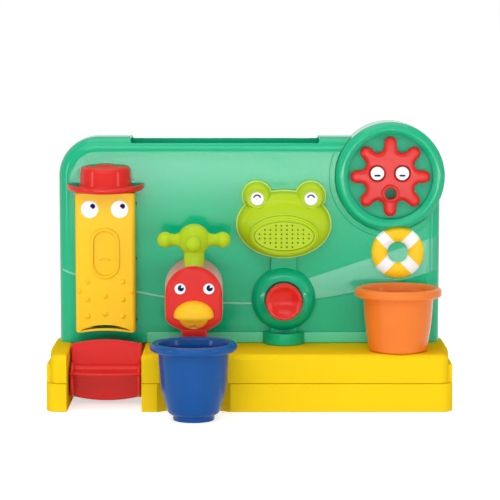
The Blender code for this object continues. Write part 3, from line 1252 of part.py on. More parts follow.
def dial_ring(board):
    """The round housing on the board's corner: a deep ring with a pan in its window, and the star's pin."""
    here = {"place": (DIAL_X, DIAL_HEIGHT, 0), "parent": board}
    top, pan = DIAL_PROUD, -DIAL_FLOOR_SET_IN
    soft = (DIAL_RADIUS - DIAL_WINDOW) / 3
    profile = [(0, pan), (DIAL_WINDOW, pan)]
    profile += arc((DIAL_WINDOW + soft, top - soft), soft, 180, 90, 3)
    profile += arc((DIAL_RADIUS - soft, top - soft), soft, 90, 0, 3)
    profile += [(DIAL_RADIUS, -SHELL_DEPTH), (DIAL_RADIUS - WALL, -SHELL_DEPTH)]
    profile += [(DIAL_RADIUS - WALL, pan - WALL), (0, pan - WALL)]
    ring = add_turned("dial_ring", turned("dial_ring", profile, 32), finish=TEAL, **here)
    hole = rod("pin_hole", PIN_RADIUS + GAP, pan - 2 * WALL, pan + WALL, 16)
    spot = (BUOY_X, BUOY_HEIGHT)
    scallop = rod("buoy_scallop", BUOY_RADIUS + GAP, 0, 2 * DIAL_PROUD, 40, centre=spot)
    cut(ring, add("pin_hole", hole, **here), add("buoy_scallop", scallop, parent=board))
    head, tip = pan - WALL - GAP, STAR_BACK + 0.7 * STAR_THICKNESS
    pin = [(0, tip), (PIN_RADIUS, tip), (PIN_RADIUS, head), (PIN_HEAD_RADIUS, head)]
    pin += [(PIN_HEAD_RADIUS, head - PIN_HEAD), (0, head - PIN_HEAD)]
    add_turned("spinner_axle", turned("spinner_axle", pin, 16), finish=WHITE, **here)


def star_outline():
    """Lobes with round ends, joined by hollows that run smoothly into their straight sides."""
    half_step = math.pi / STAR_LOBES
    tip = STAR_TIP_RADIUS - STAR_LOBE_ROUND
    hollow = (STAR_VALLEY_RADIUS * math.sin(half_step) - STAR_LOBE_ROUND) / (1 - math.sin(half_step))
    reach = STAR_VALLEY_RADIUS + hollow
    half_turn = 90 - math.degrees(half_step)
    points = []
    for i in range(STAR_LOBES):
        lobe = math.pi / 2 + 2 * i * half_step
        centre = (tip * math.cos(lobe), tip * math.sin(lobe))
        facing = math.degrees(lobe)
        points += arc(centre, STAR_LOBE_ROUND, facing - 90, facing + 90, 4)
        valley = lobe + half_step
        centre = (reach * math.cos(valley), reach * math.sin(valley))
        facing = math.degrees(valley) + 180
        points += arc(centre, hollow, facing + half_turn, facing - half_turn, 3)
    return points


def spinner_star(board):
    """The star that spins on its pin, with raised eye sockets and a mouth that is a tube right through it."""
    here = {"place": (DIAL_X, DIAL_HEIGHT, STAR_BACK), "parent": board}
    body = plate("spinner_star", star_outline(), 0, STAR_THICKNESS, STAR_ROUND, 2)
    star = add("spinner_star", body, finish=RED, **here)
    lips = (0, -STAR_MOUTH_DROP)
    mouth = rod("mouth", STAR_MOUTH_RADIUS, WALL, STAR_THICKNESS + STAR_MOUTH_PROUD, 18, centre=lips)
    join(star, add("star_mouth", mouth, **here))
    for side, word in ((-1, "left"), (1, "right")):
        spot = (side * STAR_EYE_SPREAD / 2, STAR_EYE_RISE)
        socket = rod("socket", STAR_SOCKET_RADIUS, WALL, STAR_THICKNESS + STAR_SOCKET_PROUD, 18, centre=spot)
        seat = rod("seat", STAR_EYE_RADIUS + GAP, STAR_THICKNESS - GAP, 2 * STAR_THICKNESS, 18, centre=spot)
        join(star, add("star_socket_" + word, socket, **here))
        cut(star, add("star_seat_" + word, seat, **here))
        place = (DIAL_X + spot[0], DIAL_HEIGHT + spot[1], STAR_BACK + STAR_THICKNESS)
        eye("star_eye_" + word, STAR_EYE_RADIUS, place, board)
    throat = rod("throat", STAR_MOUTH_BORE, -WALL, 3 * STAR_THICKNESS, 18, centre=lips)
    hub = rod("hub", PIN_RADIUS + RUN, -WALL, 0.7 * STAR_THICKNESS + GAP, 12)
    cut(star, add("star_throat", throat, **here), add("star_hub", hub, **here))


def lifebuoy_ring(board):
    """The lifebuoy on the board: a ring, flat behind and round in front, held by two pegs."""
    here = {"place": (BUOY_X, BUOY_HEIGHT, 0), "parent": board}
    middle = (BUOY_RADIUS + BUOY_HOLE) / 2
    swell = (BUOY_THICKNESS - GAP) / (BUOY_RADIUS - middle)
    section = arc((middle, 0), BUOY_RADIUS - middle, 180, 0, 6)
    section = [(radius, GAP + swell * rise) for radius, rise in section]
    ring = add_turned("lifebuoy_ring", turned("lifebuoy_ring", section, 24), finish=YELLOW, **here)
    for side in (-1, 1):
        peg = rod("peg", PEG_RADIUS, -WALL, WALL, 12, centre=(side * middle, 0))
        join(ring, add(f"peg_{side}", peg, **here))


def blue_bucket():
    """The bucket on the floor in front of its niche: a rolled rim, a belly and a small foot."""
    top, rim_low = BUCKET_HEIGHT, BUCKET_HEIGHT - BUCKET_RIM_HEIGHT
    neck, waist, foot = BUCKET_TOP_RADIUS, BUCKET_WAIST_RADIUS, BUCKET_FOOT_RADIUS
    soft = BUCKET_RIM_HEIGHT / 2
    belly = 0.8 * waist
    inner = [(0, FLOOR), (belly - 2 * CUP_WALL, 0.08 * top + CUP_WALL), (waist - CUP_WALL, 0.4 * top)]
    inner += [(neck - CUP_WALL, rim_low), (neck - CUP_WALL, top - CUP_WALL), (neck, top)]
    outer = arc((BUCKET_RIM_RADIUS - soft, top - soft), soft, 90, -90, 4) + [(neck, rim_low)]
    outer += [(waist, 0.4 * top), (waist - CUP_WALL, 0.23 * top), (belly, 0.1 * top), (foot, 0.04 * top)]
    outer += [(foot, 0), (0, 0)]
    cup = turned("blue_bucket", inner + outer, 24)
    add_turned("blue_bucket", cup, place=(BUCKET_X, BUCKET_Y, 0), finish=BLUE)


def orange_pot():
    """The flower-pot cup on the shelf, with a deep stepped rim."""
    top, rim_low = POT_HEIGHT, POT_HEIGHT - POT_RIM_HEIGHT
    rim, neck, foot = POT_RIM_RADIUS, POT_TOP_RADIUS, POT_FOOT_RADIUS
    soft = CUP_WALL / 2
    waist = (2 * neck + foot) / 3
    inner = [(0, CUP_WALL), (foot - 2 * CUP_WALL, CUP_WALL), (waist - CUP_WALL, rim_low / 2)]
    inner += [(neck - CUP_WALL, rim_low), (neck - CUP_WALL, rim_low + CUP_WALL)]
    inner += [(rim - soft - CUP_WALL, rim_low + CUP_WALL), (rim - CUP_WALL, top)]
    outer = arc((rim - soft, top - soft), soft, 90, 0, 3) + [(rim - soft, rim_low), (neck, rim_low)]
    outer += [(waist, rim_low / 2), (foot, soft), (foot - soft, 0), (0, 0)]
    cup = turned("orange_pot", inner + outer, 24)
    add_turned("orange_pot", cup, place=(POT_X, POT_Y, SHELF_TOP + GAP), finish=ORANGE)


def screw(name, **where):
    """A pan-head screw that points along +Z, with the underside of its head at the origin."""
    profile = [(0, SCREW_LENGTH), (SCREW_RADIUS, SCREW_LENGTH - SCREW_RADIUS), (SCREW_RADIUS, 0)]
    profile += [(SCREW_HEAD_RADIUS, 0), (SCREW_HEAD_RADIUS, -SCREW_HEAD / 2)]
    profile += [(0.7 * SCREW_HEAD_RADIUS, -SCREW_HEAD), (0, -SCREW_HEAD)]
    add_turned(name, turned(name, profile, 6), finish=STEEL, **where)


def screws(board):
    """The screws through the board's back, and those sunk in the base's underside."""
    for i, spot in enumerate(board_bosses()):
        screw(f"back_screw_{i + 1}", place=(*spot, -BOARD_THICKNESS - GAP), parent=board)
    for i, spot in enumerate(base_bosses()):
        screw(f"base_screw_{i + 1}", place=(*spot, SCREW_HEAD + GAP))


def main():
    """Builds every piece of the panel."""
    clear_scene()
    board = frame("board_frame", (0, FACE_Y, 0), FACING)
    base_tray()
    base_deck()
    for build in (board_front, board_back, water_trough, chute_cover, bird_tap, frog_head):
        build(board)
    for build in (pump_dome, pump_button, pump_piston, pump_cylinder, hoses):
        build(board)
    for build in (dial_ring, spinner_star, lifebuoy_ring, screws):
        build(board)
    for build in (chute_hat, paddle_wheel, tap_handle, blue_bucket, orange_pot):
        build()


if __name__ == "__main__":
    main()
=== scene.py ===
"""Looks of the bath activity panel: its moulded pieces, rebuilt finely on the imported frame.

Metres, +Z up, +X to the right and +Y away from the viewer. Pieces on the board are drawn in the board's
own frame, which is x, height above the floor and distance in front of its face, and are then set on it.
"""

import logging
import math
from dataclasses import dataclass
from enum import Enum
from typing import Callable, Iterable, Optional, Sequence, Union

import bmesh
import bpy
from mathutils import Matrix, Vector


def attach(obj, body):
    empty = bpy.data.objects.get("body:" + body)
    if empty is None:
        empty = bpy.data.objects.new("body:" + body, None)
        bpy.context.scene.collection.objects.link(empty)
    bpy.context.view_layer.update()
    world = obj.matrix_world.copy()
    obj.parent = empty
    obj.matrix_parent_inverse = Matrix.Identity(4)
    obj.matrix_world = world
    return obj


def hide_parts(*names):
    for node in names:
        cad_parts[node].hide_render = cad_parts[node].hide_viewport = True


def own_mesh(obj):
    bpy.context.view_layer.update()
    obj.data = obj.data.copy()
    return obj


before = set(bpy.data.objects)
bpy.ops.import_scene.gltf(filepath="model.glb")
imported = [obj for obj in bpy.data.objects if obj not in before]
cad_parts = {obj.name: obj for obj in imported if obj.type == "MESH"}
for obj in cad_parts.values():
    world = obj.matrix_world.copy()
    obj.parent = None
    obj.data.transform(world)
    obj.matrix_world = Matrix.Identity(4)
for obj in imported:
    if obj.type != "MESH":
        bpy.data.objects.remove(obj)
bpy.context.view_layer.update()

logging.basicConfig(level=logging.INFO, format="%(message)s")
LOG = logging.getLogger("bath_panel")

Spot = tuple[float, float]
Corner = tuple[float, float, float]
Colour = tuple[int, int, int]
Mesh = bmesh.types.BMesh
Socket = bpy.types.NodeSocket
Tint = Union[Socket, tuple[float, float, float, float]]
Test = Callable[[Vector], bool]

# Places and sizes that several pieces share
FACE_Y = 0.017
GAP = 0.0003
WALL = 0.0025
SHELF_TOP = 0.057
BOARD_BOTTOM = SHELF_TOP + GAP
BOARD_TOP = 0.267
BASE_FRONT = -0.065
CHUTE_X = -0.1455
BAY_X = -0.1435
TAP_X = -0.055
FROG_X = 0.0347
DIAL_X = 0.1423
DIAL_HEIGHT = 0.227
DIAL_RADIUS = 0.0553
ON_BOARD = Matrix(((1, 0, 0, 0), (0, 0, -1, FACE_Y), (0, 1, 0, 0), (0, 0, 0, 1)))
SIDES = ((-1, "left"), (1, "right"))

# The largest share of a side that one rounding takes, and the distance within which points are one
ROUND_SHARE = 0.49
SAME_POINT = 1e-6


class Body(Enum):
    """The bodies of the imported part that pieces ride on."""

    PANEL = "panel"
    WHEEL = "wheel"
    STAR = "star"
    TAP = "tap"
    BUTTON = "button"
    POT = "pot"
    BUCKET = "bucket"


class Mark(Enum):
    """What is printed on an eye."""

    ROUND = "round pupil"
    GLINT = "round pupil with a white wedge"
    SMILE = "closed eye as an arc"
    SLEEPY = "low bar"


# Shader groups and finishes


def as_linear(colour: Colour) -> tuple[float, float, float, float]:
    """Turns a colour as the eye sees it, from 0 to 255, into linear light.

    Args:
        colour: Red, green and blue.

    Returns:
        The linear colour with an alpha of 1.
    """
    parts = [c / 255 for c in colour]
    linear = [c / 12.92 if c <= 0.04045 else ((c + 0.055) / 1.055) ** 2.4 for c in parts]
    return (linear[0], linear[1], linear[2], 1.0)


class Nodes:
    """Adds and links the nodes of one shader tree."""

    def __init__(self, tree: bpy.types.NodeTree) -> None:
        """Keeps the tree that the nodes go in."""
        self.tree = tree

    def add(self, kind: str, inputs: Optional[dict] = None, **settings: object) -> bpy.types.Node:
        """Adds one node.

        Args:
            kind: The node's type, without the leading ShaderNode.
            inputs: Values or sockets by input name or number.
            settings: Properties of the node.

        Returns:
            The new node.
        """
        node = self.tree.nodes.new("ShaderNode" + kind)
        for name, value in settings.items():
            setattr(node, name, value)
        for key, value in (inputs or {}).items():
            if isinstance(value, bpy.types.NodeSocket):
                self.tree.links.new(value, node.inputs[key])
            else:
                node.inputs[key].default_value = value
        return node

    def link(self, node: bpy.types.Node, sockets: dict[str, Socket]) -> None:
        """Links sockets to a node's inputs, by input name."""
        for name, socket in sockets.items():
            self.tree.links.new(socket, node.inputs[name])

    def math(self, operation: str, *values: Union[float, Socket]) -> Socket:
        """The result of a Math node on these values or sockets."""
        return self.add("Math", dict(enumerate(values)), operation=operation).outputs[0]

    def noise(self, vector: Socket, scale: float, detail: float = 2.0) -> Socket:
        """A noise pattern from 0 to 1 at this scale per metre."""
        return self.add("TexNoise", {"Vector": vector, "Scale": scale, "Detail": detail}).outputs[0]

    def ramp(self, value: Socket, low: float, high: float) -> Socket:
        """The value spread from 0 at low to 1 at high, and held beyond them."""
        spread = {"Value": value, "From Min": low, "From Max": high}
        return self.add("MapRange", spread, clamp=True).outputs["Result"]

    def mix(self, share: Socket, one: Tint, other: Tint) -> Socket:
        """A colour between two colours, by a share from 0 to 1."""
        return self.add("Mix", {0: share, 6: one, 7: other}, data_type="RGBA").outputs[2]

    def tone(self, colour: Socket, saturation: float, value: Union[float, Socket]) -> Socket:
        """A colour with its saturation and value multiplied."""
        levels = {"Color": colour, "Saturation": saturation, "Value": value}
        return self.add("HueSaturation", levels).outputs[0]


def new_group(
    name: str, inputs: dict[str, str], outputs: dict[str, str]
) -> tuple[bpy.types.NodeTree, Nodes, bpy.types.Node, bpy.types.Node]:
    """Makes an empty shader group with named sockets.

    Args:
        name: The group's name.
        inputs: Socket types by input name.
        outputs: Socket types by output name.

    Returns:
        The group, its node helper, its input node and its output node.
    """
    tree = bpy.data.node_groups.new(name, "ShaderNodeTree")
    for direction, sockets in (("INPUT", inputs), ("OUTPUT", outputs)):
        for socket, kind in sockets.items():
            tree.interface.new_socket(name=socket, in_out=direction, socket_type="NodeSocket" + kind)
    start, end = tree.nodes.new("NodeGroupInput"), tree.nodes.new("NodeGroupOutput")
    return tree, Nodes(tree), start, end


@dataclass(frozen=True)
class MouldedSkin:
    """The skin that all moulded plastic shares: faint mottle, edges painted lighter (partly rubbed wear,
    partly painted highlight), hollows painted darker as painted shade, orange peel and hair scratches.

    Attributes:
        broad: Scale of the mottle per metre.
        fine: Scale of the patches in the wear and the gloss.
        peel: Scale of the orange peel.
        ripple: Scale of the slower ripple under it.
        ripple_share: How strong the ripple is beside the peel.
        edge: Pointiness from which an edge is painted lighter, partly as wear and partly as painted
            highlight, and where it is fully so.
        hollow: The same for a hollow that is painted darker as painted shade.
        patch: Levels of the fine noise where the lighter edge starts and is full.
        edge_wear_and_highlight: Saturation and value of a lighter edge, partly worn and partly painted
            highlight.
        hollow_shade: Saturation and value of a hollow's painted shade.
        hair: Levels of noise where a hair scratch starts and is full.
        hair_turn: Turn of the scratches.
        hair_scale: Their stretch per metre.
        hair_depth: How deep a scratch is beside the peel.
        dull: How far patches and scratches dull the gloss.
    """

    broad: float = 16.0
    fine: float = 260.0
    peel: float = 700.0
    ripple: float = 120.0
    ripple_share: float = 0.6
    edge: Spot = (0.52, 0.62)
    hollow: Spot = (0.48, 0.40)
    patch: Spot = (0.3, 0.6)
    edge_wear_and_highlight: Spot = (0.86, 1.3)
    hollow_shade: Spot = (1.05, 0.72)
    hair: Spot = (0.70, 0.76)
    hair_turn: Corner = (0.3, 0.5, 0.8)
    hair_scale: Corner = (30, 900, 200)
    hair_depth: float = 0.12
    dull: float = 0.10

    def group(self) -> bpy.types.NodeTree:
        """The skin as a shader group, built on its first use.

        Returns:
            The group.
        """
        known = bpy.data.node_groups.get("moulded_skin")
        if known:
            return known
        inputs = {"Coordinates": "Vector", "Colour": "Color"}
        inputs.update(dict.fromkeys(("Gloss", "Mottle", "Wear_light_and_shade"), "Float"))
        outputs = {"Colour": "Color", "Roughness": "Float", "Height": "Float"}
        tree, nodes, start, end = new_group("moulded_skin", inputs, outputs)
        spot, mottle, wear_light_and_shade = (start.outputs[name] for name in ("Coordinates", "Mottle", "Wear_light_and_shade"))
        fine = nodes.noise(spot, self.fine, 4.0)
        half = nodes.math("MULTIPLY_ADD", mottle, -0.5, 1.0)
        value = nodes.math("MULTIPLY_ADD", nodes.noise(spot, self.broad, 3.0), mottle, half)
        body = nodes.tone(start.outputs["Colour"], 1.0, value)
        bend = nodes.add("NewGeometry").outputs["Pointiness"]
        # Convex edges are painted lighter, partly as rubbed wear and partly as painted highlight.
        worn_and_lit = nodes.math("MULTIPLY", nodes.ramp(bend, *self.edge), nodes.ramp(fine, *self.patch))
        body = nodes.mix(nodes.math("MULTIPLY", worn_and_lit, wear_light_and_shade), body, nodes.tone(body, *self.edge_wear_and_highlight))
        # Hollows are painted darker: painted shade.
        shaded_hollows = nodes.math("MULTIPLY", nodes.ramp(bend, *self.hollow), wear_light_and_shade)
        body = nodes.mix(shaded_hollows, body, nodes.tone(body, *self.hollow_shade))
        stretch = {"Vector": spot, "Rotation": self.hair_turn, "Scale": self.hair_scale}
        strands = nodes.noise(nodes.add("Mapping", stretch).outputs[0], 1.0, 1.0)
        hairs = nodes.ramp(strands, *self.hair)
        gloss = nodes.math("MULTIPLY_ADD", fine, self.dull, start.outputs["Gloss"])
        gloss = nodes.math("ADD", gloss, -self.dull / 2)
        gloss = nodes.math("MULTIPLY_ADD", hairs, self.dull, gloss)
        peel = nodes.noise(spot, self.peel, 1.0)
        height = nodes.math("MULTIPLY_ADD", nodes.noise(spot, self.ripple, 1.0), self.ripple_share, peel)
        height = nodes.math("MULTIPLY_ADD", hairs, -self.hair_depth, height)
        nodes.link(end, {"Colour": body, "Roughness": gloss, "Height": height})
        return tree


def new_material(name: str) -> tuple[bpy.types.Material, Nodes, bpy.types.Node]:
    """A material with its Principled shader.

    Args:
        name: The material's name.

    Returns:
        The material, its node helper and its shader node.
    """
    material = bpy.data.materials.new(name)
    material.use_nodes = True
    return material, Nodes(material.node_tree), material.node_tree.nodes["Principled BSDF"]


@dataclass(frozen=True)
class Finish:
    """What a piece is finished with.

    Attributes:
        name: What the finish is called.
        colour: Its colour as the eye sees it.
    """

    name: str
    colour: Colour

    def material(self) -> bpy.types.Material:
        """The finish as a material, made on its first use.

        Returns:
            The one material of this name.
        """
        known = bpy.data.materials.get(self.name)
        if known:
            return known
        material, nodes, shader = new_material(self.name)
        self.dress(nodes, shader)
        return material

    def dress(self, nodes: Nodes, shader: bpy.types.Node) -> None:
        """Sets up the shader, which each kind of finish does in its own way."""
        raise NotImplementedError


@dataclass(frozen=True)
class Plastic(Finish):
    """Moulded toy plastic in one colour.

    Attributes:
        gloss: The shader's roughness.
        mottle: How far the colour varies over the piece.
        wear_light_and_shade: How strongly the lighter edges, partly wear and partly painted highlight, and
            the painted shade in hollows show.
        peel: Depth of the orange peel in metres.
        bump: How strongly the peel shows.
        shine: The shader's specular level.
        sheen: The shader's pale sheen, which shows at a slant.
    """

    gloss: float = 0.24
    mottle: float = 0.05
    # Strength of the lighter edges (partly wear, partly painted highlight) and of the painted shade in
    # hollows.
    wear_light_and_shade: float = 0.2
    peel: float = 0.000003
    bump: float = 0.6
    shine: float = 0.25
    sheen: float = 0.0

    def tint(self, nodes: Nodes) -> Tint:
        """The colour that goes into the skin: plain, where nothing is painted on."""
        return as_linear(self.colour)

    def dress(self, nodes: Nodes, shader: bpy.types.Node) -> None:
        """Links the moulded skin to the shader.

        Args:
            nodes: The material's node helper.
            shader: Its Principled shader.
        """
        shader.inputs["Specular IOR Level"].default_value = self.shine
        shader.inputs["Sheen Weight"].default_value = self.sheen
        values = {"Coordinates": nodes.add("TexCoord").outputs["Object"], "Colour": self.tint(nodes)}
        values.update({"Gloss": self.gloss, "Mottle": self.mottle, "Wear_light_and_shade": self.wear_light_and_shade})
        skin = nodes.add("Group", values, node_tree=MouldedSkin().group()).outputs
        bump = {"Height": skin["Height"], "Strength": self.bump, "Distance": self.peel}
        links = {"Base Color": skin["Colour"], "Roughness": skin["Roughness"]}
        nodes.link(shader, {**links, "Normal": nodes.add("Bump", bump).outputs[0]})


@dataclass(frozen=True)
class BandedPlastic(Plastic):
    """Plastic with two painted stripes that cross over the middle of a ring.

    Attributes:
        stripe: The paint's colour.
        centre: Middle of the ring in x and height.
        width: Width of a stripe.
        blur: Half the width of its soft edge.
    """

    stripe: Colour = (250, 250, 250)
    centre: Spot = (0.0, 0.0)
    width: float = 0.0108
    blur: float = 0.0002

    def tint(self, nodes: Nodes) -> Tint:
        """The plastic's colour with the stripes on it.

        Args:
            nodes: The material's node helper.

        Returns:
            A socket that gives the colour.
        """
        place = nodes.add("TexCoord").outputs["Object"]
        where = (-self.centre[0], 0, -self.centre[1])
        local = nodes.add("Mapping", {"Vector": place, "Location": where}).outputs[0]
        x, _, z = nodes.add("SeparateXYZ", {0: local}).outputs
        diagonals = [nodes.math("ABSOLUTE", nodes.math(step, x, z)) for step in ("ADD", "SUBTRACT")]
        edge = self.width / math.sqrt(2)
        paint = nodes.ramp(nodes.math("MINIMUM", *diagonals), edge + self.blur, edge - self.blur)
        return nodes.mix(paint, as_linear(self.colour), as_linear(self.stripe))


@dataclass(frozen=True)
class PlainFinish(Finish):
    """A finish of one plain colour whose gloss and relief follow one noise.

    Attributes:
        scale: Scale of the noise per metre along each axis.
        detail: Detail of the noise.
        least_gloss: The shader's least roughness.
        dull: How far the noise dulls it.
        relief: How strongly the noise shows as relief.
        depth: Depth of the relief in metres.
        socket: The shader's input that makes the material what it is.
        amount: Its value.
    """

    scale: Corner = (1, 1, 1)
    detail: float = 2.0
    least_gloss: float = 0.2
    dull: float = 0.2
    relief: float = 0.2
    depth: float = 0.0001
    socket: str = "Metallic"
    amount: float = 0.0

    def dress(self, nodes: Nodes, shader: bpy.types.Node) -> None:
        """Sets the plain values and links the noise.

        Args:
            nodes: The material's node helper.
            shader: Its Principled shader.
        """
        shader.inputs["Base Color"].default_value = as_linear(self.colour)
        shader.inputs[self.socket].default_value = self.amount
        place = {"Vector": nodes.add("TexCoord").outputs["Object"], "Scale": self.scale}
        noise = nodes.noise(nodes.add("Mapping", place).outputs[0], 1.0, self.detail)
        rough = nodes.math("MULTIPLY_ADD", noise, self.dull, self.least_gloss)
        bump = nodes.add("Bump", {"Height": noise, "Strength": self.relief, "Distance": self.depth})
        nodes.link(shader, {"Roughness": rough, "Normal": bump.outputs[0]})


@dataclass(frozen=True)
class Steel(PlainFinish):
    """Drawn steel, for the axle, the spring and the screws."""

    scale: Corner = (60, 900, 900)
    least_gloss: float = 0.18
    relief: float = 0.4
    depth: float = 0.00002
    amount: float = 1.0


@dataclass(frozen=True)
class ClearPlastic(PlainFinish):
    """Milky clear plastic, for the trough, the hoses and the pump's cylinder."""

    scale: Corner = (90, 90, 90)
    detail: float = 3.0
    socket: str = "Transmission Weight"
    amount: float = 0.55


TEAL = Plastic("teal_board", (4, 178, 127), gloss=0.13, mottle=0.03, wear_light_and_shade=0.1, shine=0.28)
# Lighter teal for the dial's recessed pan: painted light that lifts its shade.
TEAL_PAN_LIT = Plastic("teal_pan_painted_light", (34, 184, 138), gloss=0.3, mottle=0.03, wear_light_and_shade=0.0, shine=0.2)
# Paler teal for the long wave's bead: painted highlight.
TEAL_CREST_HIGHLIGHT = Plastic("teal_crest_painted_highlight", (128, 206, 178), gloss=0.2, mottle=0.03, wear_light_and_shade=0.0)
# Paler teal for the skirt along the board's foot: painted highlight.
TEAL_SKIRT_HIGHLIGHT = Plastic("teal_skirt_painted_highlight", (88, 206, 164), gloss=0.2, mottle=0.03, wear_light_and_shade=0.0, shine=0.3)
# Lighter teal for the broad right wave: painted light.
TEAL_SWELL_LIT = Plastic("teal_swell_painted_light", (58, 180, 138), gloss=0.16, mottle=0.03, wear_light_and_shade=0.0, shine=0.4)
LEMON = Plastic("lemon_base", (244, 206, 28), gloss=0.3, mottle=0.03, wear_light_and_shade=0.0, shine=0.0)
SUNNY = Plastic("sunny_chute", (248, 198, 22), gloss=0.22, mottle=0.03, wear_light_and_shade=0.1, shine=0.15)
SCARLET = Plastic("scarlet", (218, 36, 30), gloss=0.18, shine=0.2)
SCARLET_SIDE = Plastic("scarlet_side", (218, 36, 30), gloss=0.3, shine=0.3, sheen=0.42)
# Darker red for the beds in the star's eye grooves: painted shade.
SCARLET_SOCKET_SHADE = Plastic("scarlet_socket_painted_shade", (166, 22, 24), gloss=0.3, wear_light_and_shade=0.0, shine=0.05)
LIME = Plastic("lime", (174, 202, 24), gloss=0.22, shine=0.15)
# Paler lime for the frog's rim: painted highlight along its edge.
LIME_RIM_HIGHLIGHT = Plastic("lime_rim_painted_highlight", (200, 228, 104), gloss=0.25, wear_light_and_shade=0.0, shine=0.2)
# Dark olive discs in the spray holes: painted shade.
SPRAY_SHADE = Plastic("spray_shade", (96, 120, 20), gloss=0.5, wear_light_and_shade=0.0, shine=0.0)
# Dark teal blocks for the clip slots: painted shade.
SLOT_SHADE = Plastic("slot_shade", (6, 84, 60), gloss=0.5, wear_light_and_shade=0.0, shine=0.0)
COBALT = Plastic("cobalt_bucket", (8, 80, 152), gloss=0.18, shine=0.18)
TANGERINE = Plastic("tangerine_pot", (238, 124, 40), gloss=0.24)
BEAK_YELLOW = Plastic("beak_yellow", (250, 194, 32), gloss=0.24, shine=0.2)
BEAK_ORANGE = Plastic("beak_orange", (252, 172, 42), gloss=0.24, shine=0.2)
EYE_WHITE = Plastic("eye_white", (250, 250, 250), gloss=0.2, mottle=0.02, wear_light_and_shade=0.2)
NAVY_INK = Plastic("navy_ink", (10, 14, 80), gloss=0.3, mottle=0.1, wear_light_and_shade=0.0, shine=0.05)
BLACK_RUBBER = Plastic("black_rubber", (34, 34, 36), gloss=0.55, mottle=0.1)
PALE_ACETAL = Plastic("pale_acetal", (236, 236, 228), gloss=0.3)
STEEL = Steel("bright_steel", (190, 192, 196))
DARK_STEEL = Steel("dark_steel", (58, 60, 66))
CLEAR = ClearPlastic("milky_clear", (222, 234, 234))


# Shapes


def at_face(x: float, height: float, proud: float = 0.0) -> Matrix:
    """The place in the board's own frame at x and a height, this far in front of its face."""
    return ON_BOARD @ Matrix.Translation((x, height, proud))


def quarter(axis: str, count: int = 1) -> Matrix:
    """This many quarter turns about an axis."""
    return Matrix.Rotation(count * math.pi / 2, 4, axis)


def arc(centre: Spot, radius: float, start: float, end: float, steps: int) -> list[Spot]:
    """Points along an arc.

    Args:
        centre: Middle of the arc.
        radius: Its radius.
        start: First angle in degrees.
        end: Last angle in degrees.
        steps: How many pieces it has.

    Returns:
        The points, ends included.
    """
    turns = [math.radians(start + (end - start) * i / steps) for i in range(steps + 1)]
    return [(centre[0] + radius * math.cos(t), centre[1] + radius * math.sin(t)) for t in turns]


def bow(width: float, rise: float, foot: Spot, steps: int = 24) -> list[Spot]:
    """Points along a flat arch, from right to left.

    Args:
        width: Its span.
        rise: How far its middle stands above its ends.
        foot: Middle of the line between its ends.
        steps: How many pieces it has.

    Returns:
        The points, ends included.
    """
    radius = (width**2 / 4 + rise**2) / (2 * rise)
    sweep = math.degrees(math.asin(width / 2 / radius))
    return arc((foot[0], foot[1] + rise - radius), radius, 90 - sweep, 90 + sweep, steps)


def ellipse(half_width: float, half_height: float, centre: Spot = (0, 0), steps: int = 96) -> list[Spot]:
    """Points round an ellipse, anticlockwise."""
    turns = [2 * math.pi * i / steps for i in range(steps)]
    return [(centre[0] + half_width * math.cos(t), centre[1] + half_height * math.sin(t)) for t in turns]


def circle(radius: float, centre: Spot = (0, 0), steps: int = 96) -> list[Spot]:
    """Points round a circle, anticlockwise."""
    return ellipse(radius, radius, centre, steps)


def stadium(width: float, length: float, centre: Spot, steps: int = 20) -> list[Spot]:
    """Points round an upright slot with round ends, anticlockwise.

    Args:
        width: Its width.
        length: Its length from end to end.
        centre: Its middle.
        steps: Pieces in each round end.

    Returns:
        The points.
    """
    x, height = centre
    rise = (length - width) / 2
    top = arc((x, height + rise), width / 2, 0, 180, steps)
    return top + arc((x, height - rise), width / 2, 180, 360, steps)


def rounded(corners: Iterable[Corner], closed: bool = False, steps: int = 6) -> list[Spot]:
    """A line through corners, each rounded by its own radius.

    Args:
        corners: Two coordinates and a radius each.
        closed: Whether the last corner joins the first.
        steps: Pieces in each rounding.

    Returns:
        The points of the line.
    """
    points: list[Spot] = []
    corners = list(corners)
    count = len(corners)
    for i, (x, y, radius) in enumerate(corners):
        here = Vector((x, y))
        inside = closed or 0 < i < count - 1
        if not inside or radius <= 0:
            points.append((x, y))
            continue
        before = Vector(corners[i - 1][:2]) - here
        after = Vector(corners[(i + 1) % count][:2]) - here
        half = before.angle(after) / 2
        most = (ROUND_SHARE * before.length, ROUND_SHARE * after.length)
        reach = min(radius / math.tan(half), *most)
        middle = here + (before.normalized() + after.normalized()).normalized() * reach / math.cos(half)
        first = here + before.normalized() * reach - middle
        last = here + after.normalized() * reach - middle
        begin, sweep, bend = math.atan2(first.y, first.x), first.angle_signed(last), first.length
        turns = [begin - sweep * k / steps for k in range(steps + 1)]
        points += [(middle.x + bend * math.cos(t), middle.y + bend * math.sin(t)) for t in turns]
    return points


def bent(start: Vector, corner: Vector, end: Vector, steps: int) -> list[Spot]:
    """Points along a curve from start to end that bends towards the corner, ends included."""
    shares = [i / steps for i in range(steps + 1)]
    return [tuple(start.lerp(corner, t).lerp(corner.lerp(end, t), t)) for t in shares]


def soften(bm: Mesh, edges: Iterable[bmesh.types.BMEdge], radius: float, steps: int = 5) -> None:
    """Rounds these edges by a radius."""
    shape = {"offset": radius, "segments": steps, "profile": 0.5, "affect": "EDGES", "material": -1}
    bmesh.ops.bevel(bm, geom=list(edges), **shape)


def level_edges(bm: Mesh, height: float, keep: Optional[Test] = None) -> list[bmesh.types.BMEdge]:
    """The edges at this height, apart from those with both ends in a place that stays sharp."""
    level = [edge for edge in bm.edges if all(abs(v.co.z - height) < SAME_POINT for v in edge.verts)]
    return [edge for edge in level if not (keep and all(keep(v.co) for v in edge.verts))]


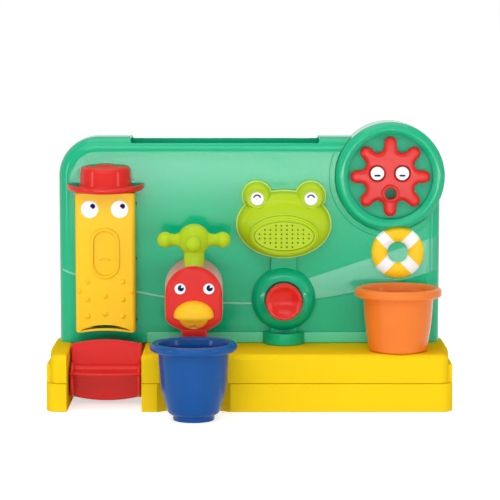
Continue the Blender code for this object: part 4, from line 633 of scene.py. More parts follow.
def slab(
    outline: Sequence[Spot],
    low: float,
    high: float,
    top: float = 0.0,
    bottom: float = 0.0,
    steps: int = 5,
    keep: Optional[Test] = None,
) -> Mesh:
    """A flat outline made a solid, with round edges.

    Args:
        outline: Points round it.
        low: Where it starts along Z.
        high: Where it ends.
        top: Rounding of the edge at high.
        bottom: Rounding of the edge at low.
        steps: Pieces in each rounding.
        keep: Test for points whose edges stay sharp.

    Returns:
        The closed solid.
    """
    bm = bmesh.new()
    face = bm.faces.new([bm.verts.new((x, y, low)) for x, y in outline])
    raised = bmesh.ops.extrude_face_region(bm, geom=[face])["geom"]
    corners = [v for v in raised if isinstance(v, bmesh.types.BMVert)]
    bmesh.ops.translate(bm, verts=corners, vec=(0, 0, high - low))
    bmesh.ops.recalc_face_normals(bm, faces=bm.faces)
    for level, radius in ((high, top), (low, bottom)):
        if radius:
            soften(bm, level_edges(bm, level, keep), radius, steps)
    return bm


def turned(profile: Sequence[Spot], steps: int = 96) -> Mesh:
    """A profile of radius and height, spun about Z.

    Args:
        profile: Points from end to end.
        steps: Pieces round the axis.

    Returns:
        The spun surface, closed at the axis.
    """
    bm = bmesh.new()
    line = [bm.verts.new((radius, 0, height)) for radius, height in profile]
    edges = [bm.edges.new(pair) for pair in zip(line, line[1:])]
    axis = {"cent": (0, 0, 0), "axis": (0, 0, 1), "angle": 2 * math.pi}
    bmesh.ops.spin(bm, geom=[*line, *edges], **axis, steps=steps, use_merge=True)
    bmesh.ops.remove_doubles(bm, verts=bm.verts, dist=SAME_POINT)
    bmesh.ops.recalc_face_normals(bm, faces=bm.faces)
    return bm


def ring_of(profile: Iterable[Corner], steps: int = 96) -> Mesh:
    """A closed section with rounded corners, spun about Z."""
    section = rounded(profile, closed=True)
    return turned([*section, section[0]], steps)


def lofted(sections: Sequence[Sequence[Corner]]) -> Mesh:
    """A closed skin through sections.

    Args:
        sections: The points round each section, as many in each and in the same order.

    Returns:
        The skin, with flat ends.
    """
    bm = bmesh.new()
    rings = [[bm.verts.new(point) for point in section] for section in sections]
    for one, other in zip(rings, rings[1:]):
        for i in range(len(one)):
            bm.faces.new((one[i - 1], one[i], other[i], other[i - 1]))
    bm.faces.new(rings[0])
    bm.faces.new(rings[-1])
    bmesh.ops.recalc_face_normals(bm, faces=bm.faces)
    return bm


def domed(sizes: Spot, low: float, high: float, centre: Spot = (0, 0), fullness: float = 4.0) -> Mesh:
    """An oval that is flat behind, with a crowned face.

    Args:
        sizes: Its half width and half height.
        low: Where it starts along Z.
        high: Where its middle ends.
        centre: Its middle.
        fullness: 2 gives half an ellipsoid, and more a flatter face with a rounder edge.

    Returns:
        The closed solid.
    """
    power, rise = 2 / fullness, high - low
    quadrant = arc((0, 0), 1, 90, 0, steps=28)
    profile = [(max(x, 0) ** power, low + rise * max(y, 0) ** power) for x, y in quadrant]
    bm = turned([*profile, (0, low)], steps=144)
    return moved(bm, Matrix.Translation((*centre, 0)) @ Matrix.Diagonal((*sizes, 1, 1)))


def ball(sizes: Corner, centre: Corner = (0, 0, 0), around: int = 48) -> Mesh:
    """An ellipsoid.

    Args:
        sizes: Its half sizes.
        centre: Its middle.
        around: Pieces round it.

    Returns:
        The closed solid.
    """
    bm = bmesh.new()
    place = Matrix.Translation(centre) @ Matrix.Diagonal((*sizes, 1))
    bmesh.ops.create_uvsphere(bm, u_segments=around, v_segments=around // 2, radius=1, matrix=place)
    return bm


def block(low: Corner, high: Corner, soft: float = 0.0) -> Mesh:
    """A box between two corners.

    Args:
        low: Its corner with the least of each coordinate.
        high: The corner opposite.
        soft: Rounding of its edges.

    Returns:
        The closed solid.
    """
    bm = bmesh.new()
    start, end = Vector(low), Vector(high)
    place = Matrix.Translation((start + end) / 2) @ Matrix.Diagonal((*(end - start), 1))
    bmesh.ops.create_cube(bm, size=1, matrix=place)
    if soft:
        soften(bm, bm.edges, soft, steps=3)
    return bm


def moved(bm: Mesh, place: Union[Matrix, Corner]) -> Mesh:
    """The same mesh, moved by a matrix or to a place."""
    bm.transform(place if isinstance(place, Matrix) else Matrix.Translation(place))
    return bm


def clipped(bm: Mesh, spot: Corner, facing: Corner) -> Mesh:
    """A solid without what lies beyond a plane, closed again there.

    Args:
        bm: The solid.
        spot: A point on the plane.
        facing: The way to the side that goes.

    Returns:
        What is left of the solid.
    """
    whole = [*bm.verts, *bm.edges, *bm.faces]
    bmesh.ops.bisect_plane(bm, geom=whole, plane_co=spot, plane_no=facing, clear_outer=True)
    bmesh.ops.holes_fill(bm, edges=bm.edges, sides=0)
    return bm


def together(*parts: Mesh) -> Mesh:
    """Several meshes as one, each still closed by itself.

    Args:
        parts: The meshes, which are used up.

    Returns:
        The one mesh.
    """
    whole = bmesh.new()
    for part in parts:
        mesh = bpy.data.meshes.new("part")
        part.to_mesh(mesh)
        part.free()
        whole.from_mesh(mesh)
        bpy.data.meshes.remove(mesh)
    return whole


def loose_object(name: str, bm: Mesh) -> bpy.types.Object:
    """Makes a mesh an object in the scene.

    Args:
        name: The object's name.
        bm: The mesh, which is used up.

    Returns:
        The object.
    """
    bmesh.ops.recalc_face_normals(bm, faces=bm.faces)
    mesh = bpy.data.meshes.new(name)
    bm.to_mesh(mesh)
    bm.free()
    thing = bpy.data.objects.new(name, mesh)
    bpy.context.scene.collection.objects.link(thing)
    return thing


def result_of(thing: bpy.types.Object, *helpers: bpy.types.Object) -> Mesh:
    """What an object's modifiers make, after which the object and its helpers are gone.

    Args:
        thing: The object.
        helpers: Other objects that its modifiers use.

    Returns:
        The finished mesh.
    """
    graph = bpy.context.evaluated_depsgraph_get()
    mesh = bpy.data.meshes.new_from_object(thing.evaluated_get(graph))
    bm = bmesh.new()
    bm.from_mesh(mesh)
    bpy.data.meshes.remove(mesh)
    for used in (thing, *helpers):
        bpy.data.meshes.remove(used.data)
    return bm


def carved(bm: Mesh, *cutters: Mesh, operation: str = "DIFFERENCE") -> Mesh:
    """Takes cutters out of a solid, or joins them to it.

    Args:
        bm: The solid.
        cutters: What goes out of it or onto it.
        operation: The Boolean modifier's operation.

    Returns:
        The carved solid.
    """
    body = loose_object("carved", bm)
    tools = [loose_object("cutter", cutter) for cutter in cutters]
    for tool in tools:
        step = body.modifiers.new("carve", "BOOLEAN")
        step.operation, step.object, step.solver = operation, tool, "EXACT"
    return result_of(body, *tools)


def melted(bm: Mesh, grain: float, passes: int) -> Mesh:
    """Melts overlapping solids into one skin with soft inner corners.

    Args:
        bm: The overlapping solids.
        grain: Size of the remeshed faces.
        passes: How often the skin is smoothed.

    Returns:
        The one skin.
    """
    body = loose_object("melted", bm)
    skin = body.modifiers.new("skin", "REMESH")
    skin.mode, skin.voxel_size = "VOXEL", grain
    soft = body.modifiers.new("soft", "SMOOTH")
    soft.factor, soft.iterations = 0.5, passes
    return result_of(body)


def piece(
    name: str,
    bm: Mesh,
    finish: Finish,
    body: Body,
    *nodes: str,
    place: Optional[Matrix] = None,
    sharp: float = 38.0,
) -> bpy.types.Object:
    """Puts a finished piece in the scene.

    Args:
        name: The piece's name.
        bm: Its mesh, which is used up.
        finish: Its finish.
        body: The body it rides on.
        nodes: The CAD nodes that it stands for.
        place: Where the mesh goes, if it isn't there yet.
        sharp: Angle in degrees past which an edge stays sharp.

    Returns:
        The new object, at the origin with its place in its mesh.
    """
    if place:
        bm.transform(place)
    thing = loose_object(name, bm)
    thing.data.shade_smooth()
    thing.data.set_sharp_from_angle(angle=math.radians(sharp))
    thing.data.materials.append(finish.material())
    even = thing.modifiers.new("even_shading", "WEIGHTED_NORMAL")
    even.keep_sharp = True
    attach(thing, body.value)
    if nodes:
        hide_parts(*nodes)
    LOG.info("%s: %d faces, on %s", name, len(thing.data.polygons), body.value)
    return thing


# Sub-assemblies


@dataclass
class Eye:
    """A white eye, let into its seat, with its printed mark.

    Attributes:
        node: The CAD node it stands for.
        radius: The white's radius.
        spot: Its middle on the board, in x and height.
        proud: How far in front of the board's face its back is.
        mark: What is printed on it.
        look: How far the mark stands off the middle, in x and height.
        size: The mark's radius, or half its width.
        body: The body it rides on.
        stroke: Width of a printed line.
        ink: How far the ink stands out.
        thickness: The white's thickness in its middle.
        rim: Its thickness at the rim, as a share of that.
        back_round: Rounding of its back edge.
        rim_round: Rounding of its front edge.
        wedge: Angles in degrees between which a pupil with a glint is drawn.
        smile: Angles between which an arc is drawn.
    """

    node: str
    radius: float
    spot: Spot
    proud: float
    mark: Mark
    look: Spot
    size: float
    body: Body = Body.PANEL
    stroke: float = 0.0015
    ink: float = 0.00006
    thickness: float = 0.0014
    rim: float = 0.8
    back_round: float = 0.0002
    rim_round: float = 0.0006
    wedge: Spot = (75, 380)
    smile: Spot = (12, 168)

    def build(self) -> None:
        """Builds the white and prints its mark."""
        edge, top = self.radius, self.thickness
        side = [(edge, 0, self.back_round), (edge, top * self.rim, self.rim_round)]
        here = at_face(*self.spot, self.proud)
        white = turned(rounded([(0, 0, 0), *side, (0, top, 0)]), steps=64)
        piece("look_" + self.node, white, EYE_WHITE, self.body, self.node, place=here)
        outline = self.outline()
        middle = [sum(values) / len(outline) for values in zip(*outline)]
        level = top * (1 - (1 - self.rim) * math.hypot(*middle) / edge)
        ink = slab(outline, level - top / 3, level + self.ink, top=self.ink / 2, steps=1)
        piece(f"mark_{self.node}_0", ink, NAVY_INK, self.body, place=here)

    def outline(self) -> list[Spot]:
        """The printed shape, round the eye's middle.

        Returns:
            The points round it.
        """
        if self.mark is Mark.ROUND:
            return circle(self.size, self.look, steps=40)
        if self.mark is Mark.GLINT:
            return [self.look, *arc(self.look, self.size, *self.wedge, steps=40)]
        if self.mark is Mark.SMILE:
            start, end = self.smile
            inner = arc(self.look, self.size - self.stroke, end, start, steps=24)
            return arc(self.look, self.size, start, end, steps=24) + inner
        (x, y), half = self.look, self.stroke / 2
        lower = [(x - self.size, y - half, half), (x + self.size, y - half, half)]
        upper = [(x + self.size, y + half, half), (x - self.size, y + half, half)]
        return rounded(lower + upper, closed=True)


@dataclass
class Base:
    """The base: a tray with side ears, and a deck whose shelf carries the board."""

    width: float = 0.402
    depth: float = 0.130
    seam: float = 0.028
    ear_foot: float = 0.020
    ear_top: float = 0.046
    ear_length: float = 0.050
    corner: float = 0.012
    set_back: float = 0.002
    side_set_back: float = 0.005
    shelf_round: float = 0.006
    flare: float = 0.0048
    flare_end: float = -0.005
    flare_round: float = 0.10
    recess_round: float = 0.003
    edge_round: float = 0.0006
    crease: float = 50.0
    bay_width: float = 0.074
    bay_depth: float = 0.115
    niche: float = 0.0525
    bucket_reach: float = 0.038

    def plan(self, inset: Spot, flare: float) -> list[Spot]:
        """The base from above, with round corners.

        Args:
            inset: How far it is drawn in at the sides and at the front.
            flare: How much wider each side grows towards the middle.

        Returns:
            The points round it.
        """
        x, y = self.width / 2 - inset[0], self.depth / 2 - inset[1]
        corner = self.corner - inset[1]
        wide = x + flare
        corners = [(x, -y, corner), (wide, y, corner)]
        if flare:
            corners.insert(1, (wide, self.flare_end, self.flare_round))
        corners += [(-x, y, soft) for x, y, soft in reversed(corners)]
        return rounded(corners, closed=True, steps=8)

    def at_back(self, spot: Vector) -> bool:
        """Whether a point lies on the back, whose edges stay sharp."""
        return spot.y > self.depth / 2 - self.set_back - GAP

    def recesses(self, low: float, high: float, flare: float) -> list[Mesh]:
        """Cutters for the wheel's bay and the bucket's niche.

        Args:
            low: Where they start above the floor.
            high: Height of the surface that they open in.
            flare: Radius of the round edge there.

        Returns:
            The two cutters.
        """
        half, reach, over = self.bay_width / 2, self.niche, high + flare
        edge = arc((half + flare, high - flare), flare, 180, 90, steps=8) + [(half + flare, over)]
        section = [(half, low), *edge, *((-x, z) for x, z in reversed(edge)), (-half, low)]
        bay = moved(slab(section, -BASE_FRONT - self.bay_depth, 2 * self.depth), quarter("X"))
        wall = arc((reach + flare, high - flare), flare, 180, 90, steps=8)
        niche = turned([(0, low), (reach, low), *wall, (reach + flare, over), (0, over)], steps=128)
        return [moved(bay, (BAY_X, 0, 0)), moved(niche, (TAP_X, BASE_FRONT - self.bucket_reach, 0))]

    def ears(self) -> list[Mesh]:
        """The blocks that stand up at the tray's two sides.

        Returns:
            Their meshes.
        """
        near, far = BASE_FRONT + self.corner, BASE_FRONT + self.ear_length
        inner, outer = self.width / 2 - self.side_set_back + GAP, self.width / 2 - GAP / 2
        blocks = []
        for left, right in ((-outer, -inner), (inner, outer)):
            blocks.append(block((left, near, self.ear_foot), (right, far, self.ear_top), self.edge_round))
        return blocks

    def build(self) -> None:
        """Builds the tray and the deck."""
        edge = self.edge_round
        tray = slab(self.plan((0, 0), 0), 0, self.seam, top=edge, bottom=2 * edge, steps=6)
        tray = carved(tray, *self.recesses(-self.seam, 2 * self.seam, self.set_back))
        shelf = self.plan((self.side_set_back, self.set_back), self.flare)
        rounds = {"top": self.shelf_round, "bottom": edge, "steps": 6}
        deck = slab(shelf, self.seam + GAP, SHELF_TOP, **rounds, keep=self.at_back)
        deck = carved(deck, *self.recesses(0, SHELF_TOP, self.recess_round))
        for name, parts in (("base_tray", [tray, *self.ears()]), ("base_deck", [deck])):
            base = piece("look_" + name, together(*parts), LEMON, Body.PANEL, name)
            soft = base.modifiers.new("soft_edges", "BEVEL")
            soft.width, soft.segments, soft.limit_method = edge, 2, "ANGLE"
            soft.angle_limit = math.radians(self.crease)
            base.modifiers.move(1, 0)


@dataclass
class Board:
    """The standing board: a hollow front with a water slot in its top, moulded waves, and a flat back."""

    width: float = 0.388
    thickness: float = 0.040
    corner: float = 0.040
    edge_round: float = 0.015
    back_round: float = 0.001
    slot_left: float = -0.120
    slot_right: float = 0.070
    slot_front: float = 0.0065
    slot_back: float = 0.003
    slot_reach: float = 0.02
    slot_flare: float = 0.004
    slot_round: float = 0.002
    skirt_height: float = 0.011
    skirt_proud: float = 0.004
    skirt_left: float = -0.1045
    skirt_round: float = 0.0012
    collar_radius: float = 0.062
    collar_proud: float = 0.0015
    collar_gap: float = 0.0006
    collar_round: float = 0.0008
    collar_inner_round: float = 0.0005
    wave_end: float = 0.1905
    wave_columns: int = 60
    wave_low: float = 0.0973
    wave_middle: float = -0.005
    wave_bend: float = 1.0
    wave_right: float = 0.06
    wave_right_bend: float = 0.9
    wave_half: float = 0.0011
    wave_proud: float = 0.0009
    long_wave_right: float = 0.062
    swell_left: float = 0.045
    swell_crest: float = 0.118
    swell_slope: float = 0.33
    swell_proud: float = 0.0012
    swell_fall: float = 0.0009

    def outline(self, inset: float = 0.0) -> list[Spot]:
        """The board from the front.

        Args:
            inset: How far it is drawn in all round.

        Returns:
            The points round it.
        """
        edge, low, top = self.width / 2 - inset, BOARD_BOTTOM + inset, BOARD_TOP - inset
        upper = [(edge, top, self.corner - inset), (-edge, top, self.corner - inset)]
        return rounded([(-edge, low, 0), (edge, low, 0), *upper], closed=True, steps=20)

    def slot(self, drop: float) -> Mesh:
        """The cutter of the water slot, with soft lower corners.

        Args:
            drop: How deep the slot is.

        Returns:
            The cutter.
        """
        low, high, flare = BOARD_TOP - drop, BOARD_TOP + self.slot_reach, self.slot_flare
        corners = [(self.slot_left, low, self.slot_round), (self.slot_right, low, self.slot_round)]
        corners += [(self.slot_right + flare, high, 0), (self.slot_left - flare, high, 0)]
        return slab(rounded(corners, closed=True), -2 * self.thickness, self.thickness)

    def at_foot(self, spot: Vector) -> bool:
        """Whether a point lies on the board's foot, whose edges stay sharp."""
        return spot.y < BOARD_BOTTOM + WALL + GAP

    def build(self) -> None:
        """Builds the front, its relief and the back."""
        self.front()
        self.relief()
        self.back()

    def front(self) -> None:
        """The hollow front shell."""
        depth, soft = self.thickness - WALL - GAP, self.edge_round
        shell = slab(self.outline(), -depth, 0, soft, steps=10, keep=self.at_foot)
        room = slab(self.outline(WALL), -2 * depth, -WALL, soft - WALL, steps=6, keep=self.at_foot)
        edge, reach = DIAL_RADIUS + GAP, 2 * self.thickness
        dial = turned([(0, -reach), (edge, -reach), (edge, reach), (0, reach)])
        shell = carved(shell, room, self.slot(self.slot_front), moved(dial, (DIAL_X, DIAL_HEIGHT, 0)))
        piece("look_board_front", shell, TEAL, Body.PANEL, "board_front", place=ON_BOARD)

    def lower_wave(self, x: float) -> float:
        """Height of the long moulded wave at x."""
        bend = self.wave_bend if x < self.wave_right else self.wave_right_bend
        return self.wave_low + (x - self.wave_middle) ** 2 * bend

    def edge_drop(self, x: float) -> float:
        """How far the face falls back at x, on the round edge of the board's side."""
        over = max(abs(x) - (self.width / 2 - self.edge_round), 0)
        return self.edge_round - math.sqrt(self.edge_round**2 - over**2)

    def relief(self) -> None:
        """The skirt along the foot, the step round the dial and the waves on the face."""
        right, deep = self.width / 2 - self.edge_round, -WALL / 2
        skirt_end = (right, BOARD_BOTTOM + self.skirt_height, self.skirt_proud)
        skirt = block((self.skirt_left, BOARD_BOTTOM, deep), skirt_end, self.skirt_round)
        # The skirt is painted a paler teal than the board: painted highlight.
        piece("look_board_skirt", skirt, TEAL_SKIRT_HIGHLIGHT, Body.PANEL, place=ON_BOARD)
        proud, inner, outer = self.collar_proud, DIAL_RADIUS + self.collar_gap, self.collar_radius
        front = [(outer, proud, self.collar_round), (inner, proud, self.collar_inner_round)]
        collar = ring_of([(inner, deep, 0), (outer, deep, 0), *front], steps=128)
        collar = clipped(moved(collar, (DIAL_X, DIAL_HEIGHT, 0)), (right, 0, 0), (1, 0, 0))
        collar = clipped(collar, (0, BOARD_TOP - self.edge_round, 0), (0, 1, 0))
        piece("look_dial_step", collar, TEAL, Body.PANEL, place=ON_BOARD)
        count = self.wave_columns
        columns = [self.wave_end * (i / count - 1) for i in range(2 * count + 1)]
        self.bead([x for x in columns if x < self.long_wave_right], deep)
        self.swell([x for x in columns if x > self.swell_left], deep)

    def bead(self, columns: Sequence[float], deep: float) -> None:
        """A thin raised line along the long wave, painted a paler teal as a painted highlight.

        Args:
            columns: Where along the board it is drawn.
            deep: How far its back lies behind the face.
        """
        sections = []
        half, profile = self.wave_half, arc((0, 0), 1, 0, 180, steps=6)
        for x in columns:
            middle, back = self.lower_wave(x), self.edge_drop(x)
            crown = [(x, middle + half * across, self.wave_proud * rise - back) for across, rise in profile]
            foot = [(x, middle + side * half, deep - back) for side in (-1, 1)]
            sections.append([*crown, *foot])
        # The bead's paler teal is a painted highlight.
        piece("look_long_wave", lofted(sections), TEAL_CREST_HIGHLIGHT, Body.PANEL, place=ON_BOARD)

    def swell(self, columns: Sequence[float], deep: float) -> None:
        """The broad wave at the right, which stands out most along its lower edge and is painted a lighter
        teal than the board as painted light.

        Args:
            columns: Where along the board it is drawn.
            deep: How far its back lies behind the face.
        """
        sections = []
        for x in columns:
            low, back = self.lower_wave(x), self.edge_drop(x)
            high = self.swell_crest + self.swell_slope * (x - self.swell_left)
            lip, soft = self.swell_proud - back, self.swell_fall / 2
            face = [(x, low, lip - soft), (x, low + soft, lip), (x, high, lip - self.swell_fall)]
            sections.append([(x, low, deep - back), *face, (x, high, deep - back)])
        piece("look_right_wave", lofted(sections), TEAL_SWELL_LIT, Body.PANEL, place=ON_BOARD)

    def back(self) -> None:
        """The flat back, with the round of the dial on its corner."""
        near, far = self.thickness - WALL, self.thickness
        sheet = slab(self.outline(), -far, -near, bottom=self.back_round, steps=3)
        disc = slab(circle(DIAL_RADIUS, (DIAL_X, DIAL_HEIGHT)), -far, -near, bottom=self.back_round)
        sheet = carved(carved(sheet, disc, operation="UNION"), self.slot(self.slot_back))
        piece("look_board_back", sheet, TEAL, Body.PANEL, "board_back", place=ON_BOARD)


@dataclass
class Hat:
    """The bowler on the chute: half a turned hat with a rolled brim and a dented crown.

    Attributes:
        low: Height of its underside.
        middle: How far its middle lies in front of the board's face.
    """

    low: float
    middle: float = 0.005
    rise: float = 0.0268
    crown: float = 0.026
    lip: float = 0.039
    curl: float = 0.0025
    dent: float = 0.0022
    dent_width: float = 0.011
    dent_reach: float = 0.007

    def corners(self) -> dict[str, Corner]:
        """Its wall, from the top of the crown down to the brim and back inside.

        Returns:
            A radius, a height and a rounding for each named corner.
        """
        low, top = self.low, self.low + self.rise
        return {
            "middle of the top": (0, top + 0.0016, 0),
            "swell of the top": (0.007, top + 0.0012, 0.02),
            "hollow round it": (0.0135, top - 0.0012, 0.008),
            "ridge": (0.0185, top, 0.006),
            "shoulder": (self.crown - 0.001, top - 0.002, 0.0095),
            "foot of the crown": (self.crown + 0.0002, low + 0.006, 0.004),
            "valley of the brim": (0.029, low + 0.0034, 0.003),
            "slope of the brim": (0.0352, low + 0.0052, 0.003),
            "upper lip": (self.lip, low + 0.0064, 0.003),
            "lower lip": (self.lip, low, 0.003),
            "opening": (0.0235, low, 0.001),
            "inner shoulder": (0.0235, top - 0.0085, 0.004),
            "inner top": (0, top - 0.006, 0),
        }

    def build(self) -> None:
        """Turns the hat, bends its brim, dents its crown and cuts it at the board."""
        hat = turned(rounded(self.corners().values(), steps=8), steps=128)
        crown, dented = self.crown, self.low + self.rise - self.dent_reach
        for v in hat.verts:
            radius = math.hypot(v.co.x, v.co.y)
            if radius > crown:
                v.co.z += self.curl * (radius - crown) / (self.lip - crown) * (v.co.x / radius) ** 2
            elif v.co.z > dented:
                across = math.exp(-((v.co.x / self.dent_width) ** 2))
                v.co.z -= self.dent * max(-v.co.y / crown, 0) * across
        hat = moved(hat, (CHUTE_X, FACE_Y - self.middle, 0))
        hat = clipped(hat, (0, FACE_Y - GAP, 0), (0, 1, 0))
        piece("look_chute_hat", hat, SCARLET, Body.PANEL, "chute_hat")


@dataclass
class Chute:
    """The water chute with its hat: a hollow crowned cover with a mouth ring, bumps and an arched outlet.

    Attributes:
        mouth: Width, length and height of the oval mouth.
        bump_rows: How far each row of bumps lies below the first, and how far off the middle its bumps are.
        clip: Half the width and half the height of a clip's slot.
    """

    width: float = 0.060
    bottom: float = 0.070
    top: float = 0.2115
    proud: float = 0.022
    crown: float = 0.002
    corner: float = 0.004
    least_corner: float = 0.001
    face_round: float = 0.05
    top_round: float = 0.0006
    bottom_round: float = 0.0008
    arch: float = 0.0025
    floor: float = 0.002
    foot_round: float = 0.003
    outlet_width: float = 0.049
    outlet_rise: float = 0.0022
    outlet_arch: float = 0.0056
    outlet_end: float = 0.0006
    outlet_sill: float = 0.0028
    mouth: Corner = (0.030, 0.052, 0.151)
    band: float = 0.0034
    band_proud: float = 0.0018
    band_round: float = 0.0016
    mouth_sink: float = 0.0012
    lip_width: float = 0.0125
    lip_rise: float = 0.0026
    lip_drop: float = 0.0074
    lip_proud: float = 0.0008
    bump: float = 0.0028
    bump_flat: float = 0.75
    bump_sink: float = 0.0006
    bump_rows: tuple[Spot, ...] = (
        (0, 0.0177),
        (0.0096, 0.0264),
        (0.0147, 0),
        (0.018, 0.0177),
        (0.0326, 0),
        (0.0352, 0.0177),
    )
    eye_radius: float = 0.0088
    eye_spread: float = 0.030
    eye_height: float = 0.1955
    eye_sink: float = 0.7
    eye_look: Spot = (0.0030, 0.0031)
    pupil: float = 0.0026
    clip_heights: Corner = (0.1997, 0.1436, 0.0809)
    clip: Spot = (0.0007, 0.0011)

    def plan(self, inset: float, back: float) -> list[Spot]:
        """The chute from above, in world x and y.

        Args:
            inset: How far it is drawn in at the sides and in front.
            back: Where it ends, in front of the board's face.

        Returns:
            The points round it.
        """
        half, front = self.width / 2 - inset, self.proud - inset
        soft = max(self.corner - inset, self.least_corner)
        right = [(half, back, 0), (half, front - self.crown, soft)]
        right.append((half / 2, front - self.crown / 4, self.face_round))
        left = [(-x, proud, bend) for x, proud, bend in reversed(right)]
        points = rounded([*right, (0, front, self.face_round), *left], steps=5)
        return [(CHUTE_X + x, FACE_Y - proud) for x, proud in points]

    def underside(self) -> list[Spot]:
        """What goes away below the arched foot, in x and height.

        Returns:
            The points round it.
        """
        low, foot, edge = self.bottom, self.foot_round, self.width / 2 + WALL
        bend = self.width / 2 - foot
        points = [(CHUTE_X + edge, low - WALL), (CHUTE_X + edge, low + foot)]
        points += arc((CHUTE_X + bend, low + foot), foot, 360, 270, steps=6)
        points += bow(2 * bend, self.arch, (CHUTE_X, low))[1:-1]
        points += arc((CHUTE_X - bend, low + foot), foot, 270, 180, steps=6)
        return [*points, (CHUTE_X - edge, low + foot), (CHUTE_X - edge, low - WALL)]

    def ring_outline(self, inset: float) -> list[Spot]:
        """The upright oval of the mouth, drawn in by inset."""
        width, length, height = self.mouth
        return stadium(width - 2 * inset, length - 2 * inset, (CHUTE_X, height))

    def build(self) -> None:
        """Builds the cover, its relief, its eyes and the hat."""
        body = slab(self.plan(0, GAP), self.bottom, self.top, self.top_round, self.bottom_round, steps=3)
        room = slab(self.plan(WALL, -WALL), self.bottom + self.arch + self.floor, self.top + WALL)
        ends = self.bottom + self.outlet_rise
        sill = bow(self.outlet_width, self.outlet_sill, (CHUTE_X, ends))
        outlet = bow(self.outlet_width, self.outlet_arch, (CHUTE_X, ends + self.outlet_end)) + sill[::-1]
        beyond = 2 * self.proud
        cutters = [slab(self.underside(), -WALL, beyond), slab(outlet, self.proud / 2, beyond)]
        cutters.append(slab(self.ring_outline(self.band), self.proud - self.mouth_sink, beyond))
        cover = carved(body, room, *(moved(cutter, ON_BOARD) for cutter in cutters))
        piece("look_chute_cover", cover, SUNNY, Body.PANEL, "chute_cover")
        self.relief()
        self.clips()
        seat = self.proud - self.eye_sink * self.crown + GAP
        printed = {"mark": Mark.ROUND, "look": self.eye_look, "size": self.pupil}
        for side, word in SIDES:
            spot = (CHUTE_X + side * self.eye_spread / 2, self.eye_height)
            Eye("chute_eye_" + word, self.eye_radius, spot, seat, **printed).build()
        Hat(self.top + GAP).build()

    def relief(self) -> None:
        """The raised mouth ring with its little lip, and the rows of bumps."""
        _, length, height = self.mouth
        low, high = self.proud - 2 * self.crown, self.proud + self.band_proud
        ring = slab(self.ring_outline(0), low, high, self.band_round)
        ring = carved(ring, slab(self.ring_outline(self.band), low - WALL, high + WALL))
        soften(ring, level_edges(ring, high), self.band_round / 2, steps=3)
        ends = (CHUTE_X, height - self.lip_drop)
        smile = bow(self.lip_width, self.lip_rise, ends)
        smile += bow(self.lip_width, self.lip_rise / 3, ends)[-2:0:-1]
        parts = [ring, slab(smile, low, self.proud + self.lip_proud, self.mouth_sink / 2, steps=3)]
        first, sizes = height - length / 2 - self.bump, (self.bump, self.bump, self.bump * self.bump_flat)
        for drop, across in self.bump_rows:
            sag = self.crown * (across / (self.width / 2)) ** 2
            for side in (-1, 1) if across else (1,):
                spot = (CHUTE_X + side * across, first - drop, self.proud - sag - self.bump_sink)
                parts.append(ball(sizes, spot, around=24))
        piece("look_chute_relief", together(*parts), SUNNY, Body.PANEL, place=ON_BOARD)

    def clips(self) -> None:
        """Dark blocks on the board beside the cover where its clips go in: painted shade standing in for the
        slots.
        """
        slots = []
        across, rise = self.clip
        for height in self.clip_heights:
            for side, _ in SIDES:
                x = CHUTE_X + side * (self.width / 2 + across)
                low, high = (x - across, height - rise, -WALL), (x + across, height + rise, WALL / 4)
                slots.append(block(low, high))
        piece("look_clip_slot_painted_shade", together(*slots), SLOT_SHADE, Body.PANEL, place=ON_BOARD)


@dataclass
class PaddleWheel:
    """The red paddle wheel in its bay."""

    height: float = 0.0348
    y: float = -0.019
    width: float = 0.0705
    bore: float = 0.0029
    cheek_radius: float = 0.0179
    cheek_offset: float = 0.0085
    cheek: float = 0.0035
    cheek_round: float = 0.0012
    hub: float = 0.006
    hub_round: float = 0.0008
    reach: float = 0.031
    crown: float = 0.0045
    blades: int = 4
    blade: float = 0.0025
    blade_round: float = 0.0008
    blade_root: float = 0.7

    def build(self) -> None:
        """Builds the hub, its two long cheeks and the crowned blades."""
        half, bore, hub = self.width / 2, self.bore, self.hub
        outside = [(hub, -half, self.hub_round), (hub, half, self.hub_round)]
        parts = [moved(ring_of([(bore, -half, 0), *outside, (bore, half, 0)], steps=48), quarter("Y"))]
        shift = self.cheek_offset
        reach = math.degrees(math.acos(shift / self.cheek_radius))
        lobe = arc((-shift, -shift), self.cheek_radius, reach, 360 - reach, steps=56)
        outline = lobe + [(-y, -height) for y, height in lobe]
        across = Matrix(((0, 0, 1, 0), (1, 0, 0, 0), (0, 1, 0, 0), (0, 0, 0, 1)))
        for side, _ in SIDES:
            near, far = sorted((side * (half - GAP), side * (half - self.cheek)))
            cheek = slab(outline, near, far, self.cheek_round, self.cheek_round, steps=4)
            parts.append(moved(cheek, across))
        root, thick, soft = self.blade_root * hub, self.blade / 2, self.blade_round
        tip = bow(self.width, self.crown, (0, self.reach - self.crown), steps=32)
        for i in range(self.blades):
            paddle = slab([(-half, root), (half, root), *tip], -thick, thick, soft, soft, steps=3)
            parts.append(moved(paddle, Matrix.Rotation(2 * math.pi * i / self.blades, 4, "X")))
        here = Matrix.Translation((BAY_X, self.y, self.height))
        piece("look_paddle_wheel", together(*parts), SCARLET, Body.WHEEL, "paddle_wheel", place=here)


